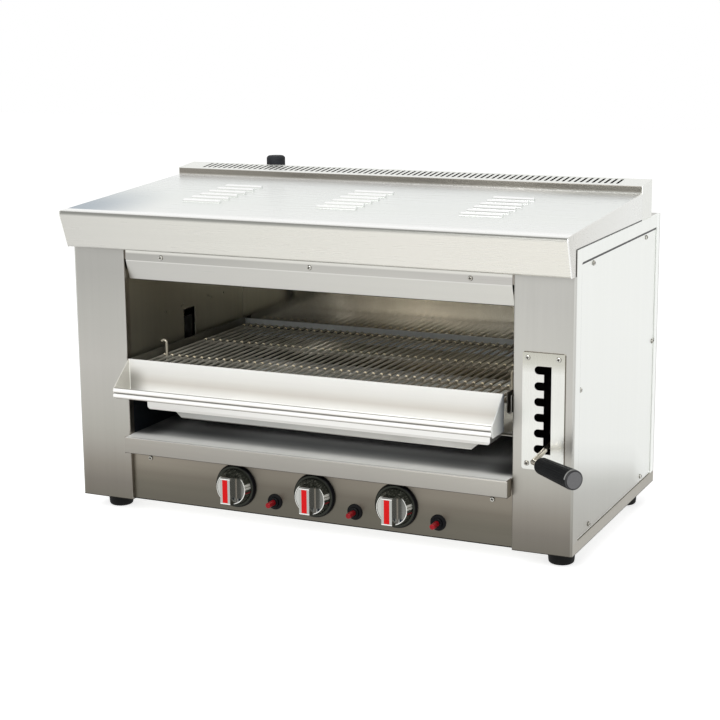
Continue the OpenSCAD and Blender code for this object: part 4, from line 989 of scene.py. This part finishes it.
NODE_FINISHES = {
    "top_sheet": ["top_cover"],
    "flue_sheet": ["flue_grille"],
    "front_columns": ["side_casing_left", "side_casing_right"],
    "side_sheet": ["side_cover_left", "side_cover_right"],
    "rear_sheet": ["rear_panel", "base_pan"],
    "header_sheet": ["header_panel"],
    "control_sheet": ["control_panel"],
    "gate_sheet": ["gate_plate"],
    "trough_sheet": ["grid_trough"],
    "tray_sheet": ["crumb_tray"],
    "pan_sheet": ["drip_pan"],
    "oven_walls": ["inner_wall_left", "inner_wall_right"],
    "oven_back": ["cavity_back_wall"],
    "oven_floor": ["cavity_floor"],
    "burner_steel": ["burner_housings", "burner_supports"],
    "rack_rails": ["rack_rail_left", "rack_rail_right"],
    "rear_bar": ["rack_cross_bar"],
    "grid_wire": ["wire_grid"],
    "hook_wire": ["grid_hooks"],
    "screen_wire": ["burner_screens", "pilot_burners"],
    "screws": ["panel_screws", "foot_bolts"],
    "lift_steel": [
        "lift_shaft",
        "lift_arms",
        "lever_bar",
        "lever_pin",
        "couplers",
        "upper_links",
        "link_brackets",
    ],
    "lever_steel": ["lever_rod"],
    "brass": [
        "valve_bodies",
        "feed_pipes",
        "shaft_bearings",
        "valve_plug_1",
        "valve_plug_2",
        "valve_plug_3",
    ],
    "collar_plastic": ["knob_collars", "igniter_bodies"],
    "grip_plastic": ["lever_grip"],
    "cap_rubber": ["gas_inlet_cap"],
    "cap_plastic": ["grip_cap"],
    "button_plastic": ["igniter_button_1", "igniter_button_2", "igniter_button_3"],
    "foot_rubber": ["feet"],
    "black_iron_pipe": ["gas_inlet_pipe", "gas_manifold"],
    "porous_ceramic": ["burner_plaques"],
}


def finish_node(node, material):
    """Gives a CAD node's mesh one material."""
    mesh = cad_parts[node].data
    mesh.materials.clear()
    mesh.materials.append(material)


for finish_name, node_names in NODE_FINISHES.items():
    for node_name in node_names:
        finish_node(node_name, FINISHES[finish_name])
for node_name in ("knob_1", "knob_2", "knob_3"):
    finish_node(node_name, knob_chrome(node_name))


# ---- small pieces: weld beads on the grid, recesses in the screw heads ----------------------


def add_piece(name, shape, finish_name, body):
    """Makes a bmesh into a piece of its own that rides on a body."""
    bmesh.ops.recalc_face_normals(shape, faces=shape.faces)
    mesh = bpy.data.meshes.new(name)
    shape.to_mesh(mesh)
    shape.free()
    for face in mesh.polygons:
        face.use_smooth = True
    mesh.materials.append(FINISHES[finish_name])
    piece = bpy.data.objects.new(name, mesh)
    bpy.context.scene.collection.objects.link(piece)
    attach(piece, body)


def add_weld_beads():
    """A bead of weld at each crossing of a long wire and a cross wire."""
    low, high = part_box("wire_grid")
    wires, crossings = 45, (0.0965, 0.2415, 0.3865)
    side_in, sunk = 0.009, 0.0012
    radii = Matrix.Diagonal((0.0028, 0.0031, 0.0024, 1))
    pitch = (high.x - low.x - 2 * side_in) / (wires - 1)
    shape = bmesh.new()
    for i in range(wires):
        for back in crossings:
            place = (low.x + side_in + pitch * i, low.y + back, high.z - sunk)
            bmesh.ops.create_icosphere(
                shape, subdivisions=2, radius=1, matrix=Matrix.Translation(place) @ radii
            )
    add_piece("grid_weld_beads", shape, "weld_bead_highlight", "grid")


def screw_heads():
    """Each panel screw's head: the middle of its crown and the way that it faces."""
    shape = bmesh.new()
    shape.from_mesh(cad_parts["panel_screws"].data)
    bmesh.ops.remove_doubles(shape, verts=shape.verts, dist=0.00001)
    middle = Vector((CASING.x, CASING.y + DEPTH / 2, 0))
    met = set()
    heads = []
    for start in shape.verts:
        if start in met:
            continue
        met.add(start)
        island, reached = [], [start]
        while reached:
            vertex = reached.pop()
            island.append(vertex)
            for link in vertex.link_edges:
                other = link.other_vert(vertex)
                if other not in met:
                    met.add(other)
                    reached.append(other)
        spots = [vertex.co for vertex in island]
        low = Vector([min(spot[i] for spot in spots) for i in range(3)])
        high = Vector([max(spot[i] for spot in spots) for i in range(3)])
        size, centre = high - low, (low + high) / 2
        axis = 0 if abs(size.y - size.z) < abs(size.x - size.z) else 1
        sign = 1 if centre[axis] > middle[axis] else -1
        facing = Vector((0, 0, 0))
        facing[axis] = sign
        crown = centre.copy()
        crown[axis] = high[axis] if sign > 0 else low[axis]
        heads.append((crown, facing))
    shape.free()
    return heads


def sort_faces(shape):
    """Put the faces in the order of their corners, because a spin's order varies by run."""
    shape.verts.index_update()
    count = len(shape.verts)

    def rank(face):
        first, second, third = sorted(vertex.index for vertex in face.verts)[:3]
        return (first * count + second) * count + third

    shape.faces.sort(key=rank)


def add_screw_details():
    """On each screw a cross recess with tapered arms, and a washer round its head, both painted
    dark as painted shade.
    """
    cross = Matrix.Diagonal((0.0048, 0.0010, 0.0005, 1))
    inner, outer, foot, rise = 0.0030, 0.0043, -0.0024, 0.0005
    outline = ((inner, foot), (inner, foot + rise), (outer - 0.0003, foot + rise), (outer, foot))
    shape = bmesh.new()
    for crown, facing in screw_heads():
        turn = facing.to_track_quat("Z", "Y").to_matrix().to_4x4()
        base = Matrix.Translation(crown) @ turn
        for angle in (20, 110):
            spin = Matrix.Rotation(math.radians(angle), 4, "Z")
            made = bmesh.ops.create_cube(shape, size=1, matrix=base @ spin @ cross)
            edges = dict.fromkeys(edge for vertex in made["verts"] for edge in vertex.link_edges)
            bmesh.ops.bevel(
                shape,
                geom=list(edges),
                offset=0.00012,
                segments=1,
                profile=0.5,
                affect="EDGES",
                material=-1,
            )
        corners = [shape.verts.new(base @ Vector((radius, 0, z))) for radius, z in outline]
        sections = [shape.edges.new((corners[i - 1], corners[i])) for i in range(len(corners))]
        bmesh.ops.spin(
            shape,
            geom=corners + sections,
            cent=crown,
            axis=facing,
            angle=math.tau,
            steps=20,
            use_merge=True,
        )
    sort_faces(shape)
    add_piece("screw_details", shape, "screw_recess_shade", "root")


add_weld_beads()
add_screw_details()


# ---- studio: floor, lights, world and camera ------------------------------------------------


def make_floor():
    """A pale floor: white to the camera and in reflections, but for a soft shadow."""
    mesh = bpy.data.meshes.new("studio_floor")
    shape = bmesh.new()
    bmesh.ops.create_grid(shape, x_segments=1, y_segments=1, size=8.0)
    shape.to_mesh(mesh)
    shape.free()
    floor = bpy.data.objects.new("studio_floor", mesh)
    bpy.context.scene.collection.objects.link(floor)
    finish = Finish("studio_floor")
    seen = finish.node("LightPath", {}, {}, "Is Camera Ray")
    glossy = finish.node("LightPath", {}, {}, "Is Glossy Ray")
    through = finish.node("LightPath", {}, {}, "Is Transmission Ray")
    mirrored = glossy.math("MAXIMUM", glossy, through)
    black, white = (0, 0, 0), (1, 1, 1)
    glow = finish.mix(mirrored, black, white)
    finish.set(
        Base_Color=finish.mix(mirrored, (0.86, 0.86, 0.86), black),
        Roughness=0.9,
        Emission_Color=finish.mix(seen, glow, (0.66, 0.66, 0.66)),
        Emission_Strength=1.0,
        Specular_IOR_Level=0.0,
    )
    mesh.materials.append(finish.material)


def make_lamp(name, place, aim, size, power):
    """A flat lamp of that width and height, in metres, that faces a point."""
    lamp = bpy.data.lights.new(name, "AREA")
    lamp.shape = "RECTANGLE"
    lamp.size, lamp.size_y = size
    lamp.energy = power
    holder = bpy.data.objects.new(name, lamp)
    place, aim = Vector(place), Vector(aim)
    holder.matrix_world = Matrix.Translation(place) @ (
        (aim - place).to_track_quat("-Z", "Y").to_matrix().to_4x4()
    )
    bpy.context.scene.collection.objects.link(holder)


def make_world():
    """White to the camera and in reflections; a little dimmer as light."""
    world = bpy.data.worlds.new("studio")
    bpy.context.scene.world = world
    world.use_nodes = True
    tree = world.node_tree
    path = tree.nodes.new("ShaderNodeLightPath")
    either = tree.nodes.new("ShaderNodeMath")
    either.operation = "MAXIMUM"
    shown = tree.nodes.new("ShaderNodeMath")
    shown.operation = "MAXIMUM"
    mix = tree.nodes.new("ShaderNodeMix")
    mix.data_type = "RGBA"
    mix.inputs[6].default_value = (0.5, 0.5, 0.5, 1)
    mix.inputs[7].default_value = (1, 1, 1, 1)
    tree.links.new(path.outputs["Is Camera Ray"], shown.inputs[0])
    tree.links.new(path.outputs["Is Glossy Ray"], either.inputs[0])
    tree.links.new(path.outputs["Is Transmission Ray"], either.inputs[1])
    tree.links.new(either.outputs[0], shown.inputs[1])
    tree.links.new(shown.outputs[0], mix.inputs[0])
    background = tree.nodes["Background"]
    tree.links.new(mix.outputs[2], background.inputs["Color"])
    background.inputs["Strength"].default_value = 1.0


def make_camera():
    """The camera, placed from the casing's zero in metres and turned in radians."""
    place = Vector((1.2364, -2.4741, 0.8754))
    yaw, pitch, roll = -0.434, -0.213, -0.009
    ahead = Vector(
        (math.sin(yaw) * math.cos(pitch), math.cos(yaw) * math.cos(pitch), math.sin(pitch))
    )
    level = ahead.cross(Vector((0, 0, 1))).normalized()
    above = level.cross(ahead)
    right = math.cos(roll) * level + math.sin(roll) * above
    up = math.cos(roll) * above - math.sin(roll) * level
    camera = bpy.data.cameras.new("camera")
    camera.lens, camera.sensor_width, camera.clip_end = 86.8, 36.0, 50
    holder = bpy.data.objects.new("camera", camera)
    turn = Matrix((right, up, -ahead)).transposed().to_4x4()
    holder.matrix_world = Matrix.Translation(CASING + place) @ turn
    bpy.context.scene.collection.objects.link(holder)
    bpy.context.scene.camera = holder


make_floor()
make_world()
casing_middle = (CASING.x, CASING.y + DEPTH / 2, CASING.z + HEIGHT / 2)
make_lamp("key_light", (0.1, -2.6, 1.75), casing_middle, (1.8, 1.2), 50)
make_lamp("fill_light", (2.2, -1.2, 2.4), casing_middle, (1.6, 1.6), 8)
make_camera()
bpy.context.scene.view_settings.view_transform = "Standard"
